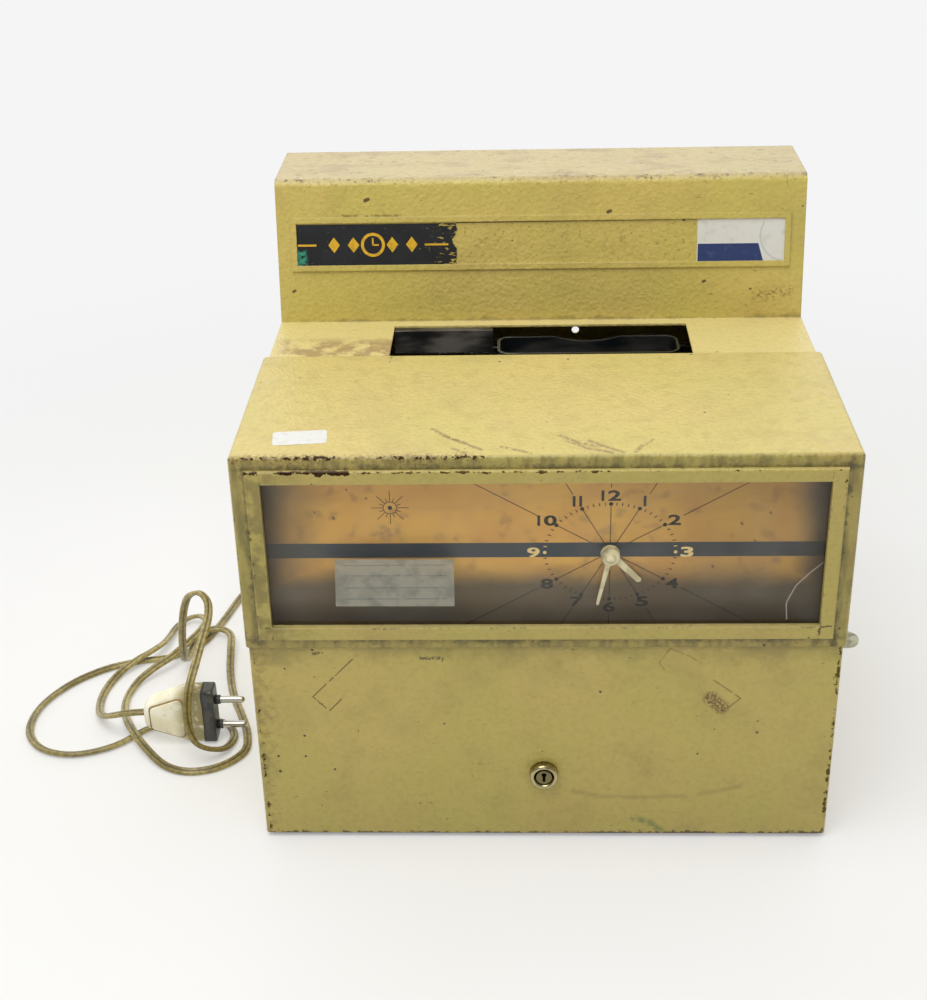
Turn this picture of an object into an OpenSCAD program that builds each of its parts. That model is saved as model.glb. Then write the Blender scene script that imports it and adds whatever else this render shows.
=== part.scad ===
// Employee time clock in an enamelled steel case: a fixed rear housing on a tray, a front cover that swings
// up over it, and a chassis inside with the dial movement, the type wheels, the card pocket and the hammer.
// Millimetres. X runs to the right, Z up, and the dial faces -Y. Z = 0 is the surface that the tray rests on.
// Depths are counted back from the face of the hood, and from_front() puts them into the frame.

/* [Case] */
// Width over the hood, the widest piece of the case
hood_w = 330; // [326:1:336]
// Depth from the hood's face to the back of the case
case_depth = 276; // [272:1:290]
// Depth from the hood's face to its rear edge, where the shelf begins
hood_depth = 135.5; // [134:0.5:137]
// Height of the hood's top face
hood_top = 250; // [248:1:256]
// Height of the hood's lower edge
hood_bottom = 133; // [131:1:134]
// Height of the tower behind the card slot
tower_top = 334.5; // [325:0.5:350]
// Depth of the tower's foot, where it rises from the shelf
tower_foot_d = 196.5; // [195:0.5:199]
// Depth of the tower's front face at its top
tower_lean_d = 210.7; // [203:0.1:216]
// Thickness of the case's sheet steel
sheet = 1.5; // [1.2:0.1:1.6]
// Gap between the moving cover and the fixed housing
cover_gap = 0.4; // [0.3:0.05:0.6]
// Rounding of the hood's pressed edges
hood_edge_r = 3; // [2:0.5:5]
// Rounding of the tower's front edge
tower_edge_r = 5; // [3:0.5:8]
// Height of the front panel's lower edge
panel_bottom = 3; // [2:0.5:4]
// How far the front panel folds back along the sides
panel_return = 14; // [11:1:16]
// Depth at which the housing's sides begin, inside the panel's folds
side_front_d = 6; // [5:0.5:8]
// Height of the housing's sides above the floor
side_bottom = 1; // [0.5:0.25:1.5]

/* [Window] */
// Width of the hood on each side of the window
window_side = 16.2; // [15:0.1:20]
// Height of the window's lower edge
window_bottom = 147; // [146:0.5:150]
// Height of the hood above the window
window_drop = 14.8; // [12:0.2:18]
// Width of the raised frame round the window
bezel_border = 7.8; // [6:0.2:8.4]
// How far the raised frame stands out of the hood
bezel_proud = 2.5; // [1.5:0.1:4]
// Thickness of the window pane
pane_t = 2.5; // [2:0.1:3]
// How far the pane reaches behind the hood round the window
pane_lap = 3.5; // [2.5:0.5:4]

/* [Card slot and pocket] */
// Width of the slot in the shelf
slot_w = 179.8; // [176:0.2:186]
// Depth of the slot's rear edge
slot_back_d = 188; // [186.5:0.5:191]
// Width of the card pocket
pocket_w = 110; // [106:1:112]
// Thickness of the pocket from front to back
pocket_depth = 28; // [26:0.5:29]
// Depth of the pocket's front wall
pocket_d = 154; // [153.5:0.1:155]
// How far the pocket's rim lies below the hood's top
pocket_sink = 7; // [6:0.5:10]
// Height of the pocket's floor
pocket_bottom = 60; // [56:1:66]
// Rounding of the pocket's corners
pocket_r = 8; // [5:0.5:10]
// X of the pocket's right wall with the pocket to the right
pocket_right = 84; // [82:0.5:86]
// Travel of the pocket to the left
pocket_travel = 60; // [56:1:60]

/* [Dial and movement] */
// X of the dial's centre
dial_x = 35.7; // [34:0.1:38]
// Height of the dial's centre
dial_z = 186; // [185:0.5:187]
// Depth of the dial's face
dial_d = 12; // [11.5:0.1:12.5]
// How far the dial plate reaches past the window on each side
dial_lap = 9.2; // [6:0.2:9.8]
// Length of the minute hand from its centre
minute_len = 32; // [26:1:35]
// Length of the hour hand from its centre
hour_len = 24; // [18:1:25]
// Radius of the type wheels over their type
type_r = 26; // [25:0.1:26.2]

/* [Lock and selector] */
// Height of the lock's centre
lock_z = 46.5; // [44:0.5:48]
// Radius of the lock's head
lock_head_r = 8.2; // [7:0.1:9]
// How far the lock's head stands out of the panel
lock_proud = 5.5; // [3:0.5:7]
// Width of the selector lever's tongue
tongue_w = 15; // [12:0.5:16]
// How far the tongue stands out of the housing's side
tongue_out = 16; // [12:0.5:20]

/* [Cord and plug] */
// Width of the flat two-core cord
cord_w = 5.4; // [5:0.1:5.6]
// Thickness of the flat two-core cord
cord_t = 3; // [2.6:0.1:3.2]
// Radius of each plug pin
pin_r = 2.2; // [2:0.1:2.4]
// Distance between the plug pins
pin_pitch = 19; // [18.5:0.1:19.2]
// Length of the plug pins out of the plug
pin_len = 19; // [17:0.5:20]

/* [Hidden] */
$fn = 48;
eps = 0.01;

// Colours
enamel = [0.72, 0.64, 0.36];
tray_brown = [0.26, 0.19, 0.13];
zinc = [0.70, 0.70, 0.66];
steel = [0.62, 0.63, 0.64];
brass = [0.78, 0.62, 0.32];
dark = [0.16, 0.16, 0.17];
bronze = [0.74, 0.56, 0.32];
cream = [0.88, 0.84, 0.70];
khaki = [0.52, 0.47, 0.30];

// Case
fit = 0.1;
panel_w = hood_w - 2 * sheet;
housing_w = panel_w - 2 * sheet - 2 * cover_gap;
housing_in = housing_w / 2 - sheet;
shelf_top = hood_top - sheet - cover_gap;
shelf_under = shelf_top - sheet;
lip_d = hood_depth - 5.5;
side_top = shelf_top - 4;
slot_front_d = hood_depth - 1.5;
tower_slope = (tower_lean_d - tower_foot_d) / (tower_top - shelf_top);
tower_angle = atan(tower_slope);
rear_edge_r = 2.5;
tray_w = 2 * (housing_in - fit);
tray_h = 20;
tray_front_d = 5;
tray_back_d = case_depth - sheet - 12.2;
frame_gap = 12.1;
vent_x = 25;
vent_z = 210;
vent_r = 2.5;

// Label frame pressed into the tower's face, by distance up the slope
label_w = hood_w - 24;
label_rim = 3.5;
label_low = 32;
label_high = 65;
label_proud = 1.2;

// Window
window_w = hood_w - 2 * window_side;
window_top = hood_top - window_drop;
bezel_w = window_w + 2 * bezel_border;
bezel_low = window_bottom - bezel_border - 0.2;
bezel_high = window_top + bezel_border - 0.5;
pane_d = sheet;
clip_size = 12;

// Frames and screws
frame_x = housing_in - frame_gap;
frame_t = 2;
frame_d = 20;
frame_back_d = case_depth - 28;
frame_top = hood_top - 12;
flange = 12;
screw_r = 2;
screw_head_r = 3.5;
screw_head_h = 2.2;
screw_grip = 5;
frame_screw_d = [40, 130, case_depth - 41];
housing_screw_d = [30, 140, case_depth - 26];
housing_screw_z = [60, 150, hood_top - 20];
tie_r = 4;
tie_places = [[40, 32], [case_depth - 34, 114], [case_depth - 44, hood_top - 35]];

// Hinge behind the hood's rear edge, under the shelf
hinge_d = hood_depth + 14.5;
hinge_z = hood_top - 10;
hinge_pin_r = 3;
running = 0.05;
arm_in_r = 23;
arm_w = 8;
arm_t = 3;
arm_x = frame_x + frame_t + 3.5;

// Movement
plate_t = 2;
chassis_d = frame_d + plate_t;
chassis_low = 141;
chassis_high = hood_top - 14;
back_plate_d = chassis_d + 24;
movement_w = 84;
movement_low = dial_z - movement_w / 2;
movement_high = dial_z + movement_w / 2;
post_x = frame_x - 6;
post_z = [chassis_low + 12, chassis_high - 7];
post_r = 3;
dial_t = 1.2;
dial_w = window_w + 2 * dial_lap;
dial_low = window_bottom - 10;
dial_high = window_top + 7.8;
dial_hole_r = 3.6;
arbor_r = 1.5;
pipe_r = 3;
hour_d = dial_d - 2.2;
minute_d = dial_d - 3.9;
nub_d = dial_d - 6;
hand_t = 0.8;
hour_turn = 136;
minute_turn = 192;
works_gap = 21.6;
cannon_n = 12;
minute_n = 36;
reverse_n = 10;
hour_n = 40;
cannon_m = 2 * works_gap / (cannon_n + minute_n);
hour_m = 2 * works_gap / (reverse_n + hour_n);
centre_n = 48;
motor_n = 12;
centre_m = 1;
motor_gap = centre_m * (centre_n + motor_n) / 2;
motor_angle = 200;
motor_x = dial_x + motor_gap * cos(motor_angle);
motor_z = dial_z + motor_gap * sin(motor_angle);
motor_r = 25;
motor_len = 30;
motor_shaft_r = 2;

// Type wheels: a contrate wheel on the minute arbor turns the minute type wheel's spur wheel
type_n = 32;
type_m = 1.5;
contrate_r = type_n * type_m / 2;
spur_x = dial_x - contrate_r;
spur_t = 4;
type_d = pocket_d - 4 - type_r;
contrate_d = type_d - contrate_r - 5;
contrate_t = 2.5;
type_shaft_r = 3;
carry_gap = 29;
carry_turn = 120;
carry_y = type_d + carry_gap * cos(carry_turn);
carry_z = dial_z + carry_gap * sin(carry_turn);
unit_n = 12;
carry_n = 48;
carry_pinion_n = 10;
hour_type_n = 60;
unit_m = 2 * carry_gap / (unit_n + carry_n);
carry_m = 2 * carry_gap / (carry_pinion_n + hour_type_n);
minute_type_x = 3.5;
minute_type_w = spur_x - spur_t / 2 - minute_type_x;
carry_x = 1.2;
carry_t = 1.8;
hour_gear_x = -3.2;
hour_type_w = 6;
hour_type_x = hour_gear_x - hour_type_w;
bracket_left = hour_type_x - 2.5;
bracket_right = spur_x + spur_t / 2 + 0.6;
figure_count = 24;
figure_w = 1.6;
figure_h = 0.7;

// Printing beam, ribbon and spools
beam_d = type_d - 10;
beam_depth = 20;
beam_z = 140;
beam_h = 10;
beam_top = beam_z + beam_h;
spool_d = type_d + 2;
supply_x = -58;
takeup_x = 88;
spool_r = 22;
spool_low = dial_z - 7.5;
spool_high = dial_z + 7.5;
spool_post_r = 3;
supply_pack_r = 14;
takeup_pack_r = 20;
ribbon_t = 0.3;
ribbon_w = 12;
ribbon_d = type_d + type_r + figure_h + 0.5;

// Card pocket
pocket_t = 1.5;
pocket_top = hood_top - pocket_sink;
pocket_left = pocket_right - pocket_w;
pocket_back_d = pocket_d + pocket_depth;
print_low = 165;
print_high = 205;
strike_low = 138;
notch_x = pocket_left + 55;
notch_w = 40;
notch_drop = 3;
rod_r = 4;
rod_d = pocket_back_d + 6;
rod_z = [pocket_bottom + 20, pocket_top - 21];
bush_w = 14;
bush_depth = 12;
bush_x = [pocket_left + 2, pocket_right - bush_w - 2];

// Selector lever: its pin stands in a slot of the pocket's bracket
swing = 31;
selector_z = 118;
selector_t = 2;
crank_len = pocket_travel / (2 * sin(swing / 2));
crank_pin_r = 2.5;
crank_slack = 0.6;
crank_x = frame_x - 9;
selector_x = crank_x - pocket_travel / 2;
selector_d = 29;
selector_post_r = 3;
bracket_z = selector_z + 4;
bracket_t = 2;
tongue_reach = housing_w / 2 + tongue_out - selector_x - tongue_w / 2;

// Hammer and its solenoid
hammer_d = pocket_back_d + 19;
hammer_z = 105;
hammer_x = -2;
hammer_w = 12;
hammer_head_w = 24;
hammer_rise = 85;
hammer_reach = 13;
hammer_shaft_r = 3;
hammer_hub_r = 7;
tail_drop = 27;
tail_pin_r = 2;
plunger_z = hammer_z - tail_drop;
plunger_r = 5;
plunger_travel = 9.5;
coil_d = hammer_d + 26;
coil_len = 28;
coil_r = 15;
solenoid_t = 3;

// Electrics
transformer_x = [frame_x - 78, frame_x - 18];
transformer_d = [case_depth - 80, case_depth - 54];
transformer_h = 56;
terminal_d = [case_depth - 50, case_depth - 32];

// Lock
lock_body_r = 6.5;
lock_body_end_d = 15;
lock_plug_r = 4.5;
lock_x = 0;
cam_t = 2;
cam_len = 24;
cam_w = 9;
keyway_w = 1.6;
keyway_h = 6;
catch_h = lock_z - lock_head_r - 3;
nut_t = 4;

// Cord exit low on the left of the rear panel
exit_x = -115;
exit_z = 38;
grommet_r = 8;
grommet_out = 9;

// Places on the cord's way, from the grommet to the plug: X, depth and height of its middle
CORD_ROUTE = [
    [-115, 285, 38], [-115, 298, 38], [-118, 315, 25], [-126, 328, 8], [-143, 334, 2], [-168, 332, 2],
    [-194, 320, 2], [-212, 296, 2], [-221, 268, 2], [-228, 238, 2], [-238, 208, 2], [-256, 192, 2],
    [-278, 186, 2], [-300, 176, 2], [-320, 157, 2], [-333, 131, 2], [-333, 104, 2], [-320, 85, 2],
    [-298, 79, 2], [-274, 88, 2], [-254, 108, 2], [-233, 117, 2], [-217, 117, 2], [-204, 111, 2],
    [-198, 98, 2], [-201, 84, 3.5], [-209, 75, 9], [-217, 72, 16], [-221, 75, 26], [-222, 81, 37],
    [-221, 88, 47], [-218, 99, 57], [-215, 111, 67], [-212, 122, 77], [-213, 130, 84], [-219, 136, 87],
    [-227, 141, 82], [-232, 146, 71], [-236, 151, 55], [-239, 157, 37], [-241, 164, 21],
    [-242, 176, 10], [-242, 191, 7.5], [-241, 206, 7], [-236, 217, 7], [-227, 220, 7], [-218, 212, 7],
    [-215, 194, 6.5], [-212, 171, 3], [-206, 146, 2], [-197, 122, 2], [-190, 101, 2], [-189, 82, 2],
    [-201, 67, 2], [-219, 61, 2], [-236, 66, 2.5], [-251, 80, 5.5], [-264, 99, 6.5], [-274, 122, 3.5],
    [-277, 142, 2], [-273, 159, 3.5], [-264, 170, 7], [-254, 180, 9.5], [-246, 191, 12],
    [-240, 204, 12.5], [-237, 216, 12], [-238, 228, 9.5], [-245, 238, 6.5], [-254, 238, 4],
    [-260, 229, 3], [-262, 216, 4], [-264, 202, 6.5], [-270, 190, 7.5], [-279, 181, 6], [-288, 170, 3],
    [-293, 155, 2], [-294, 139, 2], [-291, 123, 4], [-285, 111, 9], [-277, 103, 15], [-266, 100, 19],
    [-254, 100, 20]
];

// Plug standing on its narrow edge
plug_d = 100;
plug_depth = 15;
plug_x = -254;
plug_neck_h = 15;
plug_high = 40;
plug_low = 0;
plug_face_x = -208;
plug_base_x = -226;

// Helpers

// Puts a shape drawn with depths from the hood's face into the part's frame
module from_front() { translate([0, -case_depth / 2, 0]) children(); }

// Block between two corners
module block(x, d, z) { translate([x[0], d[0], z[0]]) cube([x[1] - x[0], d[1] - d[0], z[1] - z[0]]); }

// Rods along each axis
module rod_x(r, x, d, z) { translate([x[0], d, z]) rotate([0, 90, 0]) cylinder(r = r, h = x[1] - x[0]); }
module rod_y(r, x, d, z) { translate([x, d[1], z]) rotate([90, 0, 0]) cylinder(r = r, h = d[1] - d[0]); }
module rod_z(r, x, d, z) { translate([x, d, z[0]]) cylinder(r = r, h = z[1] - z[0]); }

// Flat shapes stood up: a depth and height outline along X, an X and height outline along the depth
module along_x(x) { translate([x[0], 0, 0]) rotate([90, 0, 90]) linear_extrude(x[1] - x[0]) children(); }
module along_d(d) { translate([0, d[1], 0]) rotate([90, 0, 0]) linear_extrude(d[1] - d[0]) children(); }
module along_z(z) { translate([0, 0, z[0]]) linear_extrude(z[1] - z[0]) children(); }

// The same piece on both sides
module both_sides() { children(); mirror([1, 0, 0]) children(); }

function unit(v) = v / norm(v);
function turn(a) = a > 180 ? a - 360 : a < -180 ? a + 360 : a;

// Points of an outline whose corners are rounded, each with its own radius
function corner(p, q, s, r, n) =
    let (u = unit(p - q), v = unit(s - q), half = acos(u * v) / 2, t = r / tan(half),
        c = q + unit(u + v) * r / sin(half), a = q + u * t - c, b = q + v * t - c,
        from = atan2(a[1], a[0]), sweep = turn(atan2(b[1], b[0]) - from))
    [for (i = [0:n]) c + r * [cos(from + sweep * i / n), sin(from + sweep * i / n)]];
function rounded(pts, radii, n = 6) =
    let (k = len(pts))
    [for (i = [0:k - 1]) each radii[i] == 0 ? [pts[i]]
        : corner(pts[(i + k - 1) % k], pts[i], pts[(i + 1) % k], radii[i], n)];

// Rectangle with round corners, made of plain squares and circles
module round_rect(w, h, r) {
    square([w - 2 * r, h], center = true);
    square([w, h - 2 * r], center = true);
    for (sx = [-1, 1], sy = [-1, 1]) translate([sx * (w / 2 - r), sy * (h / 2 - r)]) circle(r);
}

// Outline of a gear with a tooth at the angle phase
module gear(n, m, phase = 0) {
    root = m * (n / 2 - 1.15);
    tip = m * (n / 2 + 0.8);
    pitch = 360 / n;
    polygon([for (i = [0:n - 1], k = [[root, -0.3], [tip, -0.12], [tip, 0.12], [root, 0.3]])
        k[0] * [cos(phase + pitch * (i + k[1])), sin(phase + pitch * (i + k[1]))]]);
}

// Gear round a depth-wise axis, and gear round an X axis
module gear_y(n, m, x, z, d, phase) { translate([x, 0, z]) along_d(d) gear(n, m, phase); }
module gear_x(n, m, y, z, x, phase) { translate([0, y, z]) along_x(x) gear(n, m, phase); }

// Screw with its head on top, standing on Z = 0
module screw() {
    cylinder(r = screw_head_r, h = screw_head_h);
    translate([0, 0, -screw_grip]) cylinder(r = screw_r, h = screw_grip);
}

// Tube of n sides swept through points, w wide across the floor and t thick
function side_of(d) = let (s = cross([0, 0, 1], d)) norm(s) < 0.2 ? [1, 0, 0] : unit(s);
function heading(p, i) = let (k = len(p)) unit(p[min(i + 1, k - 1)] - p[max(i - 1, 0)]);
module swept(p, w, t, n) {
    k = len(p);
    rings = [for (i = [0:k - 1])
        let (h = heading(p, i), s = side_of(h), u = cross(h, s))
        for (j = [0:n - 1]) p[i] + s * w / 2 * cos(360 * (j + 0.5) / n) + u * t / 2 * sin(360 * (j + 0.5) / n)];
    walls = [for (i = [0:k - 2], j = [0:n - 1])
        let (a = i * n + j, b = i * n + (j + 1) % n)
        each [[a, b + n, b], [a, a + n, b + n]]];
    polyhedron(rings, concat([[for (j = [0:n - 1]) j]], walls, [[for (j = [n - 1:-1:0]) (k - 1) * n + j]]));
}

// Holes for the screws that hold the frames and the housing
module frame_screw_places() {
    both_sides() for (d = frame_screw_d)
        translate([frame_x - flange / 2, d, sheet + frame_t]) children();
}
module housing_screw_places() {
    both_sides() {
        for (d = housing_screw_d)
            translate([housing_w / 2, d, side_bottom + tray_h / 2]) rotate([0, 90, 0]) children();
        for (z = housing_screw_z)
            translate([housing_w / 2, case_depth - sheet - flange / 2, z]) rotate([0, 90, 0]) children();
    }
}
module screw_hole() { translate([0, 0, -20]) cylinder(r = screw_r + fit, h = 21); }

// Case

module base_tray() {
    color(tray_brown) from_front() {
        difference() {
            union() {
                block([-tray_w / 2, tray_w / 2], [tray_front_d, tray_back_d], [0, sheet]);
                for (d = [[tray_front_d, tray_front_d + sheet], [tray_back_d - sheet, tray_back_d]])
                    block([-tray_w / 2, tray_w / 2], d, [0, tray_h]);
                both_sides() block([tray_w / 2 - sheet, tray_w / 2], [tray_front_d, tray_back_d], [0, tray_h]);
            }
            frame_screw_places() screw_hole();
            housing_screw_places() screw_hole();
        }
        block([-14, 14], [lock_body_end_d - 3, lock_body_end_d - 1], [sheet, catch_h]);
        block([-14, 14], [lock_body_end_d - 3, lock_body_end_d + 12], [sheet, sheet * 2]);
    }
}

function housing_outline() =
    [[side_front_d, side_bottom], [side_front_d, side_top], [lip_d, side_top], [lip_d, shelf_top],
        [tower_foot_d, shelf_top], [tower_lean_d, tower_top], [case_depth, tower_top], [case_depth, side_bottom]];
module housing_inside() {
    lean = sheet / cos(tower_angle);
    top = tower_top - sheet;
    polygon(rounded([[-1, -1], [-1, shelf_under], [tower_foot_d - sheet * tower_slope + lean, shelf_under],
        [tower_lean_d - sheet * tower_slope + lean, top], [case_depth + 1, top], [case_depth + 1, -1]],
        [0, 0, 0, tower_edge_r - sheet, 0, 0]));
}
module on_slope() {
    translate([0, tower_foot_d, shelf_top]) rotate([90 - tower_angle, 0, 0]) children();
}
module rear_housing() {
    color(enamel) from_front() {
        difference() {
            along_x([-housing_w / 2, housing_w / 2])
                polygon(rounded(housing_outline(), [0, 0, 0, 0, 0, tower_edge_r, rear_edge_r, 0]));
            along_x([-housing_in, housing_in]) housing_inside();
            block([-slot_w / 2, slot_w / 2], [slot_front_d, slot_back_d], [shelf_under - 1, shelf_top + 1]);
            block([housing_in - 1, housing_w / 2 + 1], [selector_d - 11, selector_d + 45],
                [selector_z - 2, selector_z + selector_t + 2]);
            housing_screw_places() screw_hole();
        }
        on_slope() difference() {
            translate([0, (label_low + label_high) / 2, -0.3]) linear_extrude(label_proud + 0.3)
                square([label_w, label_high - label_low], center = true);
            translate([0, (label_low + label_high) / 2, -1]) linear_extrude(label_proud + 2)
                square([label_w - 2 * label_rim, label_high - label_low - 2 * label_rim], center = true);
        }
    }
}

module rear_panel() {
    w = housing_in - fit;
    back = [case_depth - sheet, case_depth];
    color(enamel) from_front() difference() {
        union() {
            block([-w, w], back, [side_bottom, tower_top - rear_edge_r - sheet]);
            both_sides() block([w - sheet, w], [case_depth - sheet - flange, case_depth],
                [side_bottom + tray_h + 5, tower_top - 12]);
            block([-w, w], [tray_back_d, case_depth], [side_bottom, side_bottom + sheet]);
        }
        rod_y(vent_r, vent_x, [case_depth - 5, case_depth + 1], vent_z);
        rod_y(grommet_r - 2, exit_x, [case_depth - 5, case_depth + 1], exit_z);
        housing_screw_places() screw_hole();
    }
}

module housing_screws() { color(zinc) from_front() housing_screw_places() screw(); }

// Chassis

module frame_plate() {
    difference() {
        union() {
            block([frame_x, frame_x + frame_t], [frame_d, frame_back_d], [sheet, frame_top]);
            block([frame_x - flange, frame_x], [frame_d, frame_back_d], [sheet, sheet + frame_t]);
            block([frame_x - flange, frame_x], [frame_d, frame_d + frame_t], [post_z[0] - 12, frame_top]);
        }
        block([frame_x - 1, frame_x + frame_t + 1], [selector_d - 10, selector_d + 38],
            [selector_z - 3, selector_z + selector_t + 3]);
        frame_screw_places() screw_hole();
    }
}
module frame_left() { color(zinc) from_front() mirror([1, 0, 0]) frame_plate(); }
module frame_right() { color(zinc) from_front() frame_plate(); }
module frame_screws() { color(steel) from_front() frame_screw_places() screw_short(); }
module screw_short() {
    cylinder(r = screw_head_r, h = screw_head_h);
    translate([0, 0, -sheet - frame_t + 0.2]) cylinder(r = screw_r, h = sheet + frame_t - 0.2 + eps);
}
module tie_rods() {
    color(steel) from_front() for (p = tie_places) rod_x(tie_r, [-frame_x, frame_x], p[0], p[1]);
}

module chassis_plate() {
    color(zinc) from_front() {
        difference() {
            block([-frame_x, frame_x], [chassis_d, chassis_d + plate_t], [chassis_low, chassis_high]);
            rod_y(arbor_r + running, dial_x, [chassis_d - 1, chassis_d + plate_t + 1], dial_z);
        }
        rod_y(arbor_r, dial_x, [chassis_d - 7, chassis_d], dial_z - works_gap);
    }
}
module back_plate() {
    color(brass) from_front() difference() {
        block([dial_x - movement_w / 2, dial_x + movement_w / 2], [back_plate_d, back_plate_d + plate_t],
            [movement_low, movement_high]);
        rod_y(arbor_r + running, dial_x, [back_plate_d - 1, back_plate_d + plate_t + 1], dial_z);
        rod_y(motor_shaft_r + 2, motor_x, [back_plate_d - 1, back_plate_d + plate_t + 1], motor_z);
    }
}
module plate_pillars() {
    color(brass) from_front() for (sx = [-1, 1], z = [movement_low + 7, movement_high - 7])
        rod_y(3, dial_x + sx * (movement_w / 2 - 7), [chassis_d + plate_t, back_plate_d], z);
}
module dial_plate() {
    color(bronze) from_front() difference() {
        block([-dial_w / 2, dial_w / 2], [dial_d, dial_d + dial_t], [dial_low, dial_high]);
        rod_y(dial_hole_r, dial_x, [dial_d - 1, dial_d + dial_t + 1], dial_z);
    }
}
module dial_posts() {
    color(brass) from_front() both_sides() for (z = post_z) rod_y(post_r, post_x, [dial_d + dial_t, frame_d], z);
}
module drive_motor() {
    color(dark) from_front() {
        rod_y(motor_r, motor_x, [back_plate_d + plate_t, back_plate_d + plate_t + motor_len], motor_z);
        rod_y(8, motor_x, [back_plate_d + plate_t, back_plate_d + plate_t + motor_len + 4], motor_z);
    }
}

// Minute arbor with its centre wheel, cannon pinion and contrate wheel
module minute_arbor() {
    tooth = type_m * PI;
    color(brass) from_front() {
        rod_y(arbor_r, dial_x, [nub_d, contrate_d + contrate_t], dial_z);
        gear_y(cannon_n, cannon_m, dial_x, dial_z, [dial_d + 5.3, chassis_d - 0.5], 270);
        gear_y(centre_n, centre_m, dial_x, dial_z, [chassis_d + 8, chassis_d + 10.5], motor_angle);
        rod_y(contrate_r + 2, dial_x, [contrate_d, contrate_d + contrate_t], dial_z);
        for (i = [0:type_n - 1]) translate([dial_x, 0, dial_z]) rotate([0, 180 + i * 360 / type_n, 0])
            translate([contrate_r - 2, contrate_d + contrate_t, 0]) rotate([0, 90, 0]) linear_extrude(4)
                polygon([[-0.22 * tooth, -eps], [-0.12 * tooth, 3], [0.12 * tooth, 3], [0.22 * tooth, -eps]]);
    }
}
module motor_pinion() {
    color(brass) from_front() {
        gear_y(motor_n, centre_m, motor_x, motor_z, [chassis_d + 7.5, chassis_d + 11],
            motor_angle + 180 + 180 / motor_n);
        rod_y(motor_shaft_r, motor_x, [chassis_d + 7.5, back_plate_d + plate_t - 0.3], motor_z);
    }
}
module minute_wheel() {
    z = dial_z - works_gap;
    color(brass) from_front() difference() {
        union() {
            gear_y(minute_n, cannon_m, dial_x, z, [dial_d + 6.2, chassis_d - 1.2], 90 + 180 / minute_n);
            gear_y(reverse_n, hour_m, dial_x, z, [dial_d + 2, dial_d + 6.2 + eps], 90 + 180 / reverse_n);
        }
        rod_y(arbor_r + running, dial_x, [dial_d, chassis_d], z);
    }
}
module hour_wheel() {
    color(brass) from_front() difference() {
        union() {
            rod_y(pipe_r, dial_x, [hour_d - 0.2, dial_d + 4.8], dial_z);
            gear_y(hour_n, hour_m, dial_x, dial_z, [dial_d + 2.4, dial_d + 4.6], 270);
        }
        rod_y(arbor_r + running, dial_x, [hour_d - 2, dial_d + 6], dial_z);
    }
}

// Hand with a round boss, pointing to an angle clockwise from twelve
module hand(length, boss, w0, w1, tail) {
    circle(boss);
    polygon([[-w0 / 2, -tail], [w0 / 2, -tail], [w0 / 2, boss], [w1 / 2, length - 1], [0, length],
        [-w1 / 2, length - 1], [-w0 / 2, boss]]);
}
module hour_hand() {
    color(cream) from_front() difference() {
        translate([dial_x, 0, dial_z]) rotate([0, hour_turn, 0]) along_d([hour_d, hour_d + hand_t])
            hand(hour_len, 5.2, 4, 3, 0);
        rod_y(pipe_r, dial_x, [hour_d - 1, hour_d + 2], dial_z);
    }
}
module minute_hand() {
    color(cream) from_front() difference() {
        union() {
            translate([dial_x, 0, dial_z]) rotate([0, minute_turn, 0]) along_d([minute_d, minute_d + hand_t])
                hand(minute_len, 3.6, 3, 1.6, 6);
            rod_y(2.6, dial_x, [nub_d + 0.6, minute_d + eps], dial_z);
        }
        rod_y(arbor_r, dial_x, [nub_d - 1, minute_d + 2], dial_z);
    }
}

// Printing unit

module print_beam() {
    color(zinc) from_front() {
        block([-frame_x, frame_x], [beam_d, beam_d + beam_depth], [beam_z, beam_top]);
        for (x = [supply_x, takeup_x]) {
            rod_z(spool_post_r, x, spool_d, [beam_top, spool_high + 3]);
            rod_z(spool_post_r + 3, x, spool_d, [beam_top, spool_low - 1.3]);
        }
    }
}
module print_bracket() {
    left = [bracket_left - 2, bracket_left];
    right = [bracket_right, bracket_right + 2];
    color(zinc) from_front() {
        difference() {
            union() {
                block([left[0], right[1]], [beam_d, beam_d + beam_depth], [beam_top, beam_top + 2]);
                for (x = [left, right]) {
                    block(x, [carry_y - 6, type_d + 6], [beam_top, carry_z + 6]);
                    block(x, [type_d - 7, type_d + 7], [beam_top, dial_z + 7]);
                }
            }
            rod_x(type_shaft_r, [left[0] - 1, right[1] + 1], type_d, dial_z);
        }
        rod_x(2, [left[1], bracket_right], carry_y, carry_z);
    }
}
module type_shaft() {
    color(steel) from_front() rod_x(type_shaft_r, [bracket_left - 2, bracket_right + 2], type_d, dial_z);
}

// Raised figures round a type wheel, as plain bars
module type_ring(x, w) {
    for (i = [0:figure_count - 1]) translate([0, type_d, dial_z]) rotate([i * 360 / figure_count, 0, 0])
        translate([x + 1, -figure_w / 2, type_r - figure_h - 0.4]) cube([w - 2, figure_w, figure_h + 0.4]);
}
module minute_type_wheel() {
    x = [minute_type_x, minute_type_x + minute_type_w];
    color(steel) from_front() difference() {
        union() {
            rod_x(type_r - figure_h, x, type_d, dial_z);
            type_ring(x[0], minute_type_w);
            gear_x(type_n, type_m, type_d, dial_z, [x[1], x[1] + spur_t], 180 + 180 / type_n);
            gear_x(unit_n, unit_m, type_d, dial_z, [carry_x - 0.3, x[0]], carry_turn);
        }
        rod_x(type_shaft_r + running, [x[0] - 5, x[1] + 5], type_d, dial_z);
    }
}
module carry_wheel() {
    color(brass) from_front() difference() {
        union() {
            gear_x(carry_n, unit_m, carry_y, carry_z, [carry_x, carry_x + carry_t],
                carry_turn + 180 + 180 / carry_n);
            gear_x(carry_pinion_n, carry_m, carry_y, carry_z, [hour_gear_x + 0.5, carry_x],
                carry_turn + 180 + 180 / carry_pinion_n);
        }
        rod_x(2 + running, [hour_gear_x - 1, carry_x + 4], carry_y, carry_z);
    }
}
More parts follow.
